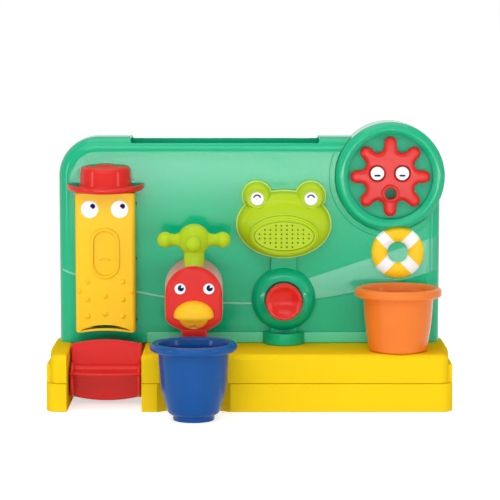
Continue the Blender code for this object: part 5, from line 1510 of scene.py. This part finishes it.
@dataclass
class BirdTap:
    """The bird's head that is the tap's spout, and the cross handle on it."""

    back_width: float = 0.059
    front_width: float = 0.0565
    top: float = 0.1448
    lean: float = -0.0015
    side_bottom: float = 0.094
    side_facing: float = 0.35
    depth: float = 0.072
    soft: float = 0.005
    jaw: float = 0.010
    neck_width: float = 0.025
    neck_top: float = 0.078
    neck_depth: float = 0.060
    neck_round: float = 0.002
    eye_radius: float = 0.0054
    eye_spread: float = 0.0283
    eye_height: float = 0.1214
    eye_shift: float = 0.0008
    eye_look: Spot = (0.0008, 0.0008)
    pupil: float = 0.0031
    beak_line: float = 0.0945
    beak_half: float = 0.01985
    beak_rise: float = 0.0152
    beak_droop: float = 0.0039
    beak_depth: float = 0.015
    overhang: float = 0.75
    lower_beak: Corner = (0.0152, 0.0131, 0.012)
    spout: float = 0.004
    handle_y: float = -0.039
    handle_height: float = 0.1684
    hub: float = 0.016
    arms: int = 4
    arm_reach: float = 0.0365
    arm_neck: float = 0.0058
    arm_flare: float = 1.5
    arm_start: float = 0.6
    arm_neck_start: float = 1.15
    front_droop: float = 0.0012
    knob: float = 0.0081
    knob_start: float = -40.0
    stem: float = 0.0103
    stem_bottom: float = 0.138
    stem_round: float = 0.0008
    handle_grain: float = 0.0007
    handle_passes: int = 14
    handle_crease: float = 60.0

    def build(self) -> None:
        """Builds the head, eyes, beak and handle."""
        self.head()
        printed = {"mark": Mark.GLINT, "look": self.eye_look, "size": self.pupil}
        for side, word in SIDES:
            spot = (TAP_X + self.eye_shift + side * self.eye_spread / 2, self.eye_height)
            Eye("bird_eye_" + word, self.eye_radius, spot, self.depth + GAP, **printed).build()
        self.beak()
        self.handle()

    def head(self) -> None:
        """The head, which narrows towards its face, on its neck."""
        half, neck = self.back_width / 2, self.neck_width / 2
        chin, jaw = Vector((neck, self.neck_top)), Vector((half, self.side_bottom))
        right = bent(chin, jaw - Vector((0, self.jaw)), jaw, steps=18)
        outline = [(-x, y) for x, y in reversed(right)] + right
        outline += arc((0, self.top - half), half, 0, 180, steps=48)
        head = slab(outline, GAP, self.depth, self.soft, steps=8)
        middle = (self.top + self.neck_top) / 2
        for v in head.verts:
            share = (v.co.z - GAP) / (self.depth - GAP)
            shrink = 1 + share * (self.front_width / self.back_width - 1)
            v.co.x = v.co.x * shrink + self.lean * (1 - share)
            v.co.y = middle + (v.co.y - middle) * shrink
        low, high = (-neck, BOARD_BOTTOM, GAP), (neck, self.neck_top + 2 * WALL, self.neck_depth)
        head = together(head, block(low, high, self.neck_round))
        shell = piece("look_bird_head", head, SCARLET, Body.PANEL, "bird_head", place=at_face(TAP_X, 0))
        shell.data.materials.append(SCARLET_SIDE.material())
        for face in shell.data.polygons:
            aside = -face.normal.y < self.side_facing
            face.material_index = int(aside and face.center.z > self.neck_top)

    def beak(self) -> None:
        """The broad upper beak, flat below, on the smaller lower one."""
        here = at_face(TAP_X, 0, self.depth + GAP)
        line, wide = self.beak_line, 2 * self.beak_half
        upper = ball((1, 1, 1), around=64)
        for v in upper.verts:
            x, y, z = v.co
            rise = self.beak_rise if y > 0 else self.beak_droop
            if y < 0 and z > -GAP:
                z = math.sqrt(z**2 + self.overhang * y**2)
            v.co = (x * self.beak_half, line + y * rise, z * self.beak_depth)
        lower = ball(self.lower_beak, (0, line, 0), around=64)
        behind = block((-wide, line - wide, -wide), (wide, line + wide, 0))
        drain = slab(circle(self.spout, (0, -self.lower_beak[2] / 2), steps=40), line - wide, line)
        drain = moved(drain, quarter("X", -1))
        beak = carved(upper, behind.copy(), drain.copy())
        piece("look_bird_beak", beak, BEAK_YELLOW, Body.PANEL, "bird_beak", place=here)
        piece("look_lower_beak", carved(lower, behind, drain), BEAK_ORANGE, Body.PANEL, place=here)

    def handle(self) -> None:
        """The cross handle, melted from its ball, arms, knobs and stem."""
        neck, knob = self.arm_neck, self.arm_reach - self.knob
        profile = [(0, 0), (neck * self.arm_flare, self.hub * self.arm_start)]
        profile += [(neck, self.hub * self.arm_neck_start), (neck, knob - self.knob)]
        profile += arc((0, knob), self.knob, self.knob_start, 90, steps=16)
        parts = [ball((self.hub,) * 3)]
        for i in range(self.arms):
            aim = Matrix.Rotation(2 * math.pi * i / self.arms, 4, "Z") @ quarter("X")
            droop = 0 if i else self.front_droop
            parts.append(moved(turned(profile, steps=40), Matrix.Translation((0, 0, -droop)) @ aim))
        drop = self.stem_bottom - self.handle_height
        stem = [(0, drop, 0), (self.stem, drop, self.stem_round), (self.stem, 0, 0), (0, 0, 0)]
        parts.append(turned(rounded(stem), steps=64))
        skin = melted(together(*parts), self.handle_grain, self.handle_passes)
        here = Matrix.Translation((TAP_X, self.handle_y, self.handle_height))
        sharp = self.handle_crease
        piece("look_tap_handle", skin, LIME, Body.TAP, "tap_handle", place=here, sharp=sharp)


@dataclass
class FrogShower:
    """The frog's head with its eye bumps, muzzle and spray plate.

    Attributes:
        muzzle: Half the muzzle's width and height.
        spray: Half the spray plate's width and height.
        pitch: Distance between two holes, across and along a column.
        hole_rows: How many holes the columns have, from the middle outwards.
    """

    height: float = 0.1792
    half_width: float = 0.0485
    half_height: float = 0.0349
    depth: float = 0.024
    rim: float = 0.0013
    rim_proud: float = 0.007
    eye_radius: float = 0.0065
    eye_look: Spot = (0, 0.0002)
    eye_arc: float = 0.0043
    eye_spread: float = 0.0541
    eye_rise: float = 0.0286
    eye_bump: float = 0.0157
    eye_depth: float = 0.0232
    eye_drop: float = 0.0017
    socket: float = 0.0103
    socket_depth: float = 0.0025
    muzzle: Spot = (0.035, 0.0205)
    muzzle_drop: float = 0.0099
    muzzle_depth: float = 0.032
    muzzle_round: float = 0.003
    ridge: float = 0.0022
    ridge_rise: float = 0.0012
    spray: Spot = (0.0297, 0.0145)
    spray_round: float = 0.0006
    hole: float = 0.0009
    hole_floor: float = 0.2
    hole_shade: float = 0.6
    pitch: Spot = (0.0055, 0.0043)
    hole_rows: tuple[int, ...] = (6, 6, 4, 4, 2)

    def build(self) -> None:
        """Builds the head, the spray plate and the eyes."""
        here, rim, bump = at_face(FROG_X, self.height), self.rim, self.eye_bump
        head = domed((self.half_width - rim, self.half_height - rim), GAP, self.depth)
        oval = ellipse(self.half_width, self.half_height, steps=144)
        flange = slab(oval, GAP, self.rim_proud, rim, steps=4)
        floor, sockets = self.eye_depth - self.socket_depth, []
        printed = {"mark": Mark.SMILE, "look": self.eye_look, "size": self.eye_arc}
        for side, word in SIDES:
            spot = (side * self.eye_spread / 2, self.eye_rise)
            edge = slab(circle(bump, spot), GAP, self.rim_proud, rim, steps=4)
            flange = carved(flange, edge, operation="UNION")
            dome = domed((bump - rim, bump - rim), GAP, self.eye_depth, spot)
            head = carved(head, dome, operation="UNION")
            front = (spot[0], spot[1] - self.eye_drop)
            sockets.append(slab(circle(self.socket, front, steps=72), floor, 2 * self.depth))
            place = (FROG_X + front[0], self.height + front[1])
            Eye("frog_eye_" + word, self.eye_radius, place, floor + GAP, **printed).build()
        head = together(carved(head, *sockets), self.lips())
        piece("look_frog_head", head, LIME, Body.PANEL, "frog_head", place=here)
        # The rim is painted a paler lime than the head: painted highlight.
        piece("look_frog_rim", flange, LIME_RIM_HIGHLIGHT, Body.PANEL, place=here)
        self.plate()

    def lips(self) -> Mesh:
        """The stepped muzzle with the seat of the spray plate.

        Returns:
            Its mesh.
        """
        low, ledges = (0, -self.muzzle_drop), []
        for i, soft in enumerate((self.muzzle_round, self.ridge_rise, self.ridge_rise)):
            edge = (self.muzzle[0] - i * self.ridge, self.muzzle[1] - i * self.ridge)
            top = self.muzzle_depth - (2 - i) * self.ridge_rise
            ledges.append(slab(ellipse(*edge, low, steps=144), self.depth / 2, top, soft, steps=6))
        inner = ellipse(self.spray[0] + GAP, self.spray[1] + GAP, low, steps=144)
        throat = slab(inner, self.muzzle_depth - WALL - GAP, 2 * self.muzzle_depth)
        return carved(carved(*ledges, operation="UNION"), throat)

    def holes(self) -> list[Spot]:
        """Middles of the spray holes, in columns either side of the middle.

        Returns:
            The spots.
        """
        spots = []
        for i, rows in enumerate(self.hole_rows):
            x = (i + 0.5) * self.pitch[0]
            for row in range(rows):
                height = (row - (rows - 1) / 2) * self.pitch[1]
                spots += [(-x, height), (x, height)]
        return spots

    def plate(self) -> None:
        """The spray plate with its drilled holes, and dark discs in them that are painted shade, so the
        holes look deep.
        """
        sheet = slab(ellipse(*self.spray), 0, WALL, self.spray_round, steps=3)
        floor, shade, spots = self.hole_floor * WALL, self.hole_shade * WALL, self.holes()
        dark = self.hole - GAP / 6
        drills = together(*(slab(circle(self.hole, spot, steps=16), floor, 2 * WALL) for spot in spots))
        # Dark discs sunk in the holes: painted shade.
        shades = together(*(slab(circle(dark, spot, steps=16), floor, shade) for spot in spots))
        here = at_face(FROG_X, self.height - self.muzzle_drop, self.muzzle_depth - WALL)
        sheet = carved(sheet, drills)
        piece("look_frog_spray_plate", sheet, LIME, Body.PANEL, "frog_spray_plate", place=here)
        piece("look_spray_painted_shade", shades, SPRAY_SHADE, Body.PANEL, place=here)


@dataclass
class Pump:
    """The pump below the frog: a domed housing with its neck and foot, and the red push button.

    Attributes:
        shoulder: Radius and distance from the board's face at the housing's shoulder.
        travel: How far the button goes in. Not used.
    """

    height: float = 0.1025
    radius: float = 0.0324
    proud: float = 0.016
    play: float = 0.0004
    bore_round: float = 0.0012
    shoulder: Spot = (0.0272, 0.0138)
    shoulder_round: float = 0.010
    hip: float = 0.0055
    neck: float = 0.027
    neck_proud: float = 0.006
    neck_round: float = 0.0016
    neck_overlap: float = 0.002
    foot: float = 0.043
    foot_proud: float = 0.024
    foot_height: float = 0.0118
    foot_top_round: float = 0.0016
    foot_round: float = 0.0008
    button: float = 0.0185
    button_proud: float = 0.032
    button_round: float = 0.0026
    dish: float = 0.0155
    dish_radius: float = 0.028
    skirt: float = 0.0162
    skirt_round: float = 0.0004
    cap: float = 0.0075
    cap_round: float = 0.001
    travel: float = 0.012

    def build(self) -> None:
        """Builds the housing, the button and the spring."""
        here = at_face(FROG_X, self.height)
        piece("look_pump_dome", self.housing(), TEAL, Body.PANEL, "pump_dome", place=here)
        piece("look_pump_button", self.cap_of_button(), SCARLET, Body.BUTTON, "pump_button", place=here)
        self.spring()

    def housing(self) -> Mesh:
        """The dome with its neck up to the frog's chin and its foot on the shelf.

        Returns:
            Its mesh, round the button's axis.
        """
        bore, edge, bend = self.button + self.play, self.radius, self.shoulder_round
        outside = [(*self.shoulder, bend), (edge, self.hip, bend), (edge, GAP, 0)]
        section = rounded([(bore, GAP, 0), (bore, self.proud, self.bore_round), *outside], steps=12)
        half, middle, soft = self.neck / 2, (bore + edge) / 2, self.neck_round
        chin = FrogShower.height - FrogShower.half_height - self.height + self.neck_overlap
        down = BOARD_BOTTOM - self.height
        parts = [turned([*section, section[0]], steps=128)]
        parts.append(block((-half, middle, GAP), (half, chin, self.neck_proud), soft))
        parts.append(block((-half, down, GAP), (half, -middle, self.neck_proud), soft))
        reach = self.foot / 2
        front = arc((0, 0), reach, 0, 180, steps=48)
        front = [(x, GAP + y * self.foot_proud / reach) for x, y in front]
        foot = slab(front, 0, self.foot_height, self.foot_top_round, self.foot_round, steps=4)
        upright = Matrix(((1, 0, 0, 0), (0, 0, 1, down), (0, 1, 0, 0), (0, 0, 0, 1)))
        return together(*parts, moved(foot, upright))

    def cap_of_button(self) -> Mesh:
        """The hollow button with its dished face.

        Returns:
            Its mesh, round its axis.
        """
        face, edge, bowl, skirt = self.button_proud, self.button, self.dish_radius, self.skirt
        tilt = math.asin(self.dish / bowl)
        dish = arc((0, face + bowl * math.cos(tilt)), bowl, -90, math.degrees(tilt) - 90, steps=20)
        side = [(self.dish, face, 0), (edge, face, self.button_round)]
        side += [(edge, -WALL, self.skirt_round), (skirt, -WALL, self.skirt_round)]
        side += [(skirt, face - self.cap, self.cap_round), (0, face - self.cap, 0)]
        return turned(dish + rounded(side, steps=8)[1:])

    def spring(self) -> None:
        """The spring behind the button."""
        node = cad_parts["pump_spring"]
        bm = bmesh.new()
        bm.from_mesh(node.data)
        bm.transform(node.matrix_world)
        bmesh.ops.remove_doubles(bm, verts=bm.verts, dist=SAME_POINT)
        coil = piece("look_pump_spring", bm, STEEL, Body.PANEL, "pump_spring")
        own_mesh(coil)


@dataclass
class StarDial:
    """The dial on the board's corner with its spinning star, and the lifebuoy below it.

    Attributes:
        buoy: The lifebuoy's x, height and radius.
    """

    window: float = 0.043
    proud: float = 0.010
    pan: float = -0.002
    depth: float = 0.0372
    lobes: int = 8
    tip: float = 0.0402
    valley: float = 0.0268
    lobe: float = 0.0065
    star_back: float = 0.0005
    star: float = 0.008
    star_round: float = 0.0045
    star_back_round: float = 0.0006
    eye: float = 0.0067
    eye_shift: float = -0.0007
    eye_spread: float = 0.0252
    eye_rise: float = 0.00365
    eye_look: Spot = (0, -0.0021)
    eye_bar: float = 0.0032
    eye_stroke: float = 0.002
    socket: float = 0.0089
    socket_round: float = 0.0006
    groove: float = 0.0016
    mouth_drop: float = 0.0165
    mouth: float = 0.0087
    mouth_flare: float = 0.0006
    throat: float = 0.0058
    lip: float = 0.006
    lip_round: float = 0.0013
    buoy: Corner = (0.1506, 0.150, 0.0268)
    buoy_hole: float = 0.0104
    buoy_proud: float = 0.006

    def ring_corners(self) -> dict[str, Corner]:
        """Section of the dial's ring.

        Returns:
            A radius, a distance from the board's face and a rounding for each named corner.
        """
        edge, window, top, bottom = DIAL_RADIUS, self.window, self.proud, self.pan - WALL
        return {
            "edge of the pan": (window, bottom, 0),
            "edge of the window": (window, top - 0.003, 0.002),
            "inner shoulder": (window + 0.004, top, 0.004),
            "outer shoulder": (edge - 0.004, top, 0.005),
            "side": (edge, top - 0.005, 0.004),
            "back": (edge, -self.depth, 0.0008),
            "inner back": (edge - WALL, -self.depth, 0.0008),
            "behind the pan": (edge - WALL, bottom, 0),
        }

    def build(self) -> None:
        """Builds the pan, the ring, the star and the lifebuoy."""
        here, pan, rest = at_face(DIAL_X, DIAL_HEIGHT), self.pan, self.window + GAP
        floor = turned([(0, pan), (rest, pan), (rest, pan - WALL), (0, pan - WALL)], steps=128)
        # The pan is painted a lighter teal than the board: painted light.
        piece("look_dial_pan", floor, TEAL_PAN_LIT, Body.PANEL, place=here)
        x, height, radius = self.buoy
        scallop = slab(circle(radius + GAP, (x - DIAL_X, height - DIAL_HEIGHT)), 0, 2 * self.proud)
        ring = carved(ring_of(self.ring_corners().values(), steps=128), scallop)
        piece("look_dial_ring", ring, TEAL, Body.PANEL, "dial_ring", place=here)
        self.spinner(here)
        self.lifebuoy()

    def outline(self) -> list[Spot]:
        """The star: round lobes joined by hollows.

        Returns:
            The points round it.
        """
        half = math.pi / self.lobes
        hollow = (self.valley * math.sin(half) - self.lobe) / (1 - math.sin(half))
        points: list[Spot] = []
        for i in range(self.lobes):
            aim = math.pi / 2 + 2 * i * half
            reach, facing = self.tip - self.lobe, math.degrees(aim)
            centre = (reach * math.cos(aim), reach * math.sin(aim))
            points += arc(centre, self.lobe, facing - 90, facing + 90, steps=14)
            aim += half
            reach, facing = self.valley + hollow, math.degrees(aim) + 180
            centre, sweep = (reach * math.cos(aim), reach * math.sin(aim)), 90 - math.degrees(half)
            points += arc(centre, hollow, facing + sweep, facing - sweep, steps=8)
        return points

    def spinner(self, here: Matrix) -> None:
        """The star with its eye sockets, whose grooves hold dark red beds of painted shade, and its tube of
        a mouth.

        Args:
            here: The dial's place.
        """
        low, high = self.star_back, self.star_back + self.star
        star = slab(self.outline(), low, high, self.star_round, self.star_back_round, steps=8)
        throat = circle(self.throat, (0, -self.mouth_drop), steps=64)
        cutters, beds = [slab(throat, low - self.star, high + self.star)], []
        eye, socket, inside = self.eye, self.socket, self.socket - GAP
        floor, over, bed_top = high - self.groove, high + self.groove, high - self.groove + GAP
        moat = [(eye, floor, 0), (socket, floor, self.socket_round), (socket, over, 0), (eye, over, 0)]
        # Dark red beds at the floor of each groove: painted shade.
        bed = [(eye, floor, 0), (inside, floor, 0), (inside, bed_top, 0), (eye, bed_top, 0)]
        printed = {"mark": Mark.SLEEPY, "look": self.eye_look, "size": self.eye_bar}
        printed.update({"stroke": self.eye_stroke, "body": Body.STAR})
        for side, word in SIDES:
            x, height = self.eye_shift + side * self.eye_spread / 2, self.eye_rise
            cutters.append(moved(ring_of(moat, steps=64), (x, height, 0)))
            beds.append(moved(ring_of(bed, steps=64), (x, height, 0)))
            Eye("star_eye_" + word, eye, (DIAL_X + x, DIAL_HEIGHT + height), high, **printed).build()
        foot, lip, soft = low + WALL, high + self.lip, self.lip_round
        tube = [(self.throat, foot, 0), (self.mouth + self.mouth_flare, foot, 0)]
        tube += [(self.mouth, lip, soft), (self.throat, lip, soft)]
        mouth = moved(ring_of(tube, steps=72), (0, -self.mouth_drop, 0))
        star = together(carved(star, *cutters), mouth)
        piece("look_spinner_star", star, SCARLET, Body.STAR, "spinner_star", place=here)
        piece("look_star_socket_painted_shade", together(*beds), SCARLET_SOCKET_SHADE, Body.STAR, place=here)

    def lifebuoy(self) -> None:
        """The lifebuoy: flat behind and round in front, yellow with painted white bands."""
        x, height, radius = self.buoy
        middle = (radius + self.buoy_hole) / 2
        reach = radius - middle
        crown = arc((0, 0), reach, 0, 180, steps=24)
        section = [(middle + across, GAP + up * self.buoy_proud / reach) for across, up in crown]
        finish = BandedPlastic("banded_buoy", (252, 206, 34), gloss=0.26, shine=0.15, centre=(x, height))
        ring = turned([*section, section[0]])
        piece("look_lifebuoy_ring", ring, finish, Body.PANEL, "lifebuoy_ring", place=at_face(x, height))


@dataclass
class Cups:
    """The two loose cups: the blue bucket on the floor and the orange pot on the shelf."""

    bucket_y: float = -0.103
    bucket_top: float = 0.0753
    bucket_shift: float = 0.001
    pot_x: float = 0.148
    pot_y: float = -0.034
    pot_height: float = 0.063
    pot_rim: float = 0.009

    def bucket_corners(self) -> dict[str, Corner]:
        """The bucket's wall, from its floor inside over the rim to its underside.

        Returns:
            A radius, a height and a rounding for each named corner.
        """
        top = self.bucket_top
        return {
            "inner floor": (0, 0.0035, 0),
            "inner heel": (0.0235, 0.0075, 0.006),
            "inner belly": (0.0296, 0.03, 0.02),
            "inner throat": (0.0324, top - 0.007, 0.01),
            "inner rim": (0.0338, top, 0.003),
            "outer rim": (0.0423, top, 0.0034),
            "lower edge of the rim": (0.0423, top - 0.008, 0.0036),
            "under the rim": (0.0344, top - 0.0082, 0.0008),
            "outer throat": (0.0338, top - 0.02, 0.03),
            "outer belly": (0.0316, 0.0297, 0.03),
            "outer heel": (0.0252, 0.0074, 0.012),
            "above the foot": (0.0205, 0.0045, 0.001),
            "foot": (0.020, 0, 0.0008),
            "inside of the foot": (0.0165, 0, 0.0004),
            "hollow of the foot": (0.0155, 0.0008, 0.0004),
            "underside": (0, 0.0008, 0),
        }

    def pot_corners(self) -> dict[str, Corner]:
        """The pot's wall, from its floor inside over the rolled rim to its underside.

        Returns:
            A radius, a height and a rounding for each named corner.
        """
        top, rim = self.pot_height, self.pot_height - self.pot_rim
        return {
            "inner floor": (0, 0.002, 0),
            "inner heel": (0.025, 0.002, 0.003),
            "inner belly": (0.031, rim / 2, 0.05),
            "inner throat": (0.0335, rim + 0.002, 0.003),
            "inner step": (0.0346, top - 0.003, 0.002),
            "inner rim": (0.0362, top, 0.0035),
            "outer rim": (0.0432, top, 0.0045),
            "lower edge of the rim": (0.0432, rim + 0.0002, 0.004),
            "under the rim": (0.0385, rim, 0.0008),
            "outer throat": (0.035, rim, 0.001),
            "outer belly": (0.033, rim / 2, 0.08),
            "outer heel": (0.029, 0.001, 0.0016),
            "foot": (0.027, 0, 0.0008),
            "inside of the foot": (0.0255, 0, 0.0003),
            "hollow of the foot": (0.0247, 0.0007, 0.0003),
            "underside": (0, 0.0007, 0),
        }

    def build(self) -> None:
        """Builds both cups."""
        wall = turned(rounded(self.bucket_corners().values(), steps=8), steps=128)
        here = Matrix.Translation((TAP_X + self.bucket_shift, self.bucket_y, 0))
        piece("look_blue_bucket", wall, COBALT, Body.BUCKET, "blue_bucket", place=here)
        wall = turned(rounded(self.pot_corners().values(), steps=8), steps=128)
        here = Matrix.Translation((self.pot_x, self.pot_y, SHELF_TOP + GAP))
        piece("look_orange_pot", wall, TANGERINE, Body.POT, "orange_pot", place=here)


@dataclass
class HiddenWorks:
    """The CAD pieces that stay as they are, each with the finish of its material.

    Attributes:
        clear: Names of the clear ones.
        hoses: Names of the clear hoses.
        acetal: Names of the pale, slippery ones.
        rubber: Names of the rubber ones.
        dark: Names of the dark steel ones.
        screw: What the names of screws hold.
    """

    clear: tuple[str, ...] = ("water_trough", "pump_cylinder")
    hoses: tuple[str, ...] = ("suction_tube", "delivery_tube", "tap_feed_tube")
    acetal: tuple[str, ...] = ("pump_piston", "spinner_axle")
    rubber: tuple[str, ...] = ("piston_seal", "tap_valve", "pump_inlet_valve", "pump_outlet_valve")
    dark: tuple[str, ...] = ("paddle_axle",)
    screw: str = "_screw_"

    def build(self) -> None:
        """Dresses the inner pieces, the axles and the screws."""
        screws = [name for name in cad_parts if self.screw in name]
        groups = [(CLEAR, self.clear + self.hoses), (PALE_ACETAL, self.acetal), (BLACK_RUBBER, self.rubber)]
        for finish, names in (*groups, (DARK_STEEL, self.dark), (STEEL, screws)):
            for name in names:
                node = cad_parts[name]
                node.data.materials.clear()
                node.data.materials.append(finish.material())
                LOG.info("%s: CAD node with %s", name, finish.name)


@dataclass(frozen=True)
class Lamp:
    """A soft lamp that the camera looks through.

    Attributes:
        name: The lamp's name.
        place: Where it hangs.
        size: Its width and height in metres.
        power: Its power in watts.
        reflected: Whether glossy surfaces mirror it.
    """

    name: str
    place: Corner
    size: Spot
    power: float
    reflected: bool = True

    def hang(self, target: Corner) -> None:
        """Hangs the lamp.

        Args:
            target: What it is aimed at.
        """
        light = bpy.data.lights.new(self.name, "AREA")
        light.shape, light.energy = "RECTANGLE", self.power
        light.size, light.size_y = self.size
        thing = bpy.data.objects.new(self.name, light)
        thing.location = self.place
        thing.visible_camera = False
        thing.visible_glossy = self.reflected
        aim = Vector(target) - Vector(self.place)
        thing.rotation_euler = aim.to_track_quat("-Z", "Y").to_euler()
        bpy.context.scene.collection.objects.link(thing)


@dataclass
class Studio:
    """Floor, light and camera.

    Attributes:
        sensor: Width of the camera's sensor in millimetres.
        lens: Focal length in millimetres.
        camera: Where the camera stands.
        tilt: How far it looks down, in degrees.
        shift: How far the picture is moved sideways on the sensor, in widths of it.
        sight: How far the camera sees.
        ambient: Strength of the white surround as light.
        target: What the lamps are aimed at, the middle of the board.
        floor_half: Half the floor's width.
        floor_colour: The floor's colour in linear light.
        floor_gloss: The floor's roughness.
        floor_glow: How strongly the floor glows for rays that see it.
    """

    sensor: float = 36.0
    lens: float = 155.18
    camera: Corner = (0.0, -2.161, 0.389)
    tilt: float = 6.208
    shift: float = 0.001
    sight: float = 100.0
    ambient: float = 0.34
    target: Corner = (0, 0, 0.14)
    floor_half: float = 40.0
    floor_colour: tuple[float, ...] = (0.86, 0.86, 0.86, 1.0)
    floor_gloss: float = 0.6
    floor_glow: float = 0.6
    lamps: tuple[Lamp, ...] = (
        Lamp("key", place=(-0.7, -1.2, 1.9), size=(1.4, 1.4), power=8.5),
        Lamp("top", place=(0.0, 0.2, 1.8), size=(1.6, 1.0), power=8.0),
        Lamp("front", place=(0.0, -1.7, 1.3), size=(1.6, 0.5), power=8.0),
        Lamp("fill", place=(0.0, -1.9, 0.3), size=(3.0, 0.3), power=2.5, reflected=False),
        Lamp("card", place=(0.0, -2.0, 0.0825), size=(3.0, 0.075), power=4.0),
        Lamp("strip", place=(0.0, -1.98, 0.097), size=(3.0, 0.03), power=7.0),
        Lamp("left", place=(-1.9, -1.1, 0.25), size=(0.25, 1.2), power=7.5),
        Lamp("right", place=(1.9, -1.1, 0.25), size=(0.25, 1.2), power=7.5),
    )

    def build(self) -> None:
        """Sets up the world, the floor, the lamps and the camera."""
        scene = bpy.context.scene
        scene.view_settings.view_transform = "Standard"
        self.world(scene)
        self.floor()
        for lamp in self.lamps:
            lamp.hang(self.target)
        lens = bpy.data.cameras.new("camera")
        lens.sensor_width, lens.lens = self.sensor, self.lens
        lens.shift_x, lens.clip_end = self.shift, self.sight
        eye = bpy.data.objects.new("camera", lens)
        eye.location = self.camera
        eye.rotation_euler = (math.radians(90 - self.tilt), 0, 0)
        scene.collection.objects.link(eye)
        scene.camera = eye

    def seen_white(self, nodes: Nodes) -> Socket:
        """1 for rays that see the background by sight, reflection or through glass, and 0 for the rest.

        Args:
            nodes: The node helper of the tree that asks.

        Returns:
            A socket that gives the value.
        """
        path = nodes.add("LightPath").outputs
        seen = nodes.math("MAXIMUM", path["Is Camera Ray"], path["Is Transmission Ray"])
        return nodes.math("MAXIMUM", seen, path["Is Glossy Ray"])

    def world(self, scene: bpy.types.Scene) -> None:
        """A soft white surround that the camera sees as plain white.

        Args:
            scene: The scene that it surrounds.
        """
        world = bpy.data.worlds.new("studio")
        world.use_nodes = True
        nodes = Nodes(world.node_tree)
        shine = world.node_tree.nodes["Background"]
        shine.inputs["Color"].default_value = (1, 1, 1, 1)
        strength = nodes.math("MULTIPLY_ADD", self.seen_white(nodes), 1 - self.ambient, self.ambient)
        nodes.link(shine, {"Strength": strength})
        scene.world = world

    def floor(self) -> None:
        """A plain pale floor that keeps a soft shadow."""
        bm = bmesh.new()
        bmesh.ops.create_grid(bm, x_segments=1, y_segments=1, size=self.floor_half)
        ground = loose_object("floor", bm)
        material, nodes, shader = new_material("pale_floor")
        shader.inputs["Base Color"].default_value = self.floor_colour
        shader.inputs["Roughness"].default_value = self.floor_gloss
        shader.inputs["Emission Color"].default_value = (1, 1, 1, 1)
        glow = nodes.math("MULTIPLY", self.seen_white(nodes), self.floor_glow)
        nodes.link(shader, {"Emission Strength": glow})
        ground.data.materials.append(material)


def main() -> None:
    """Builds every sub-assembly in order."""
    order = (Studio, Base, Board, Chute, PaddleWheel, BirdTap, FrogShower, Pump, StarDial, Cups, HiddenWorks)
    for kind in order:
        LOG.info("building %s", kind.__name__)
        kind().build()


if __name__ == "__main__":
    main()
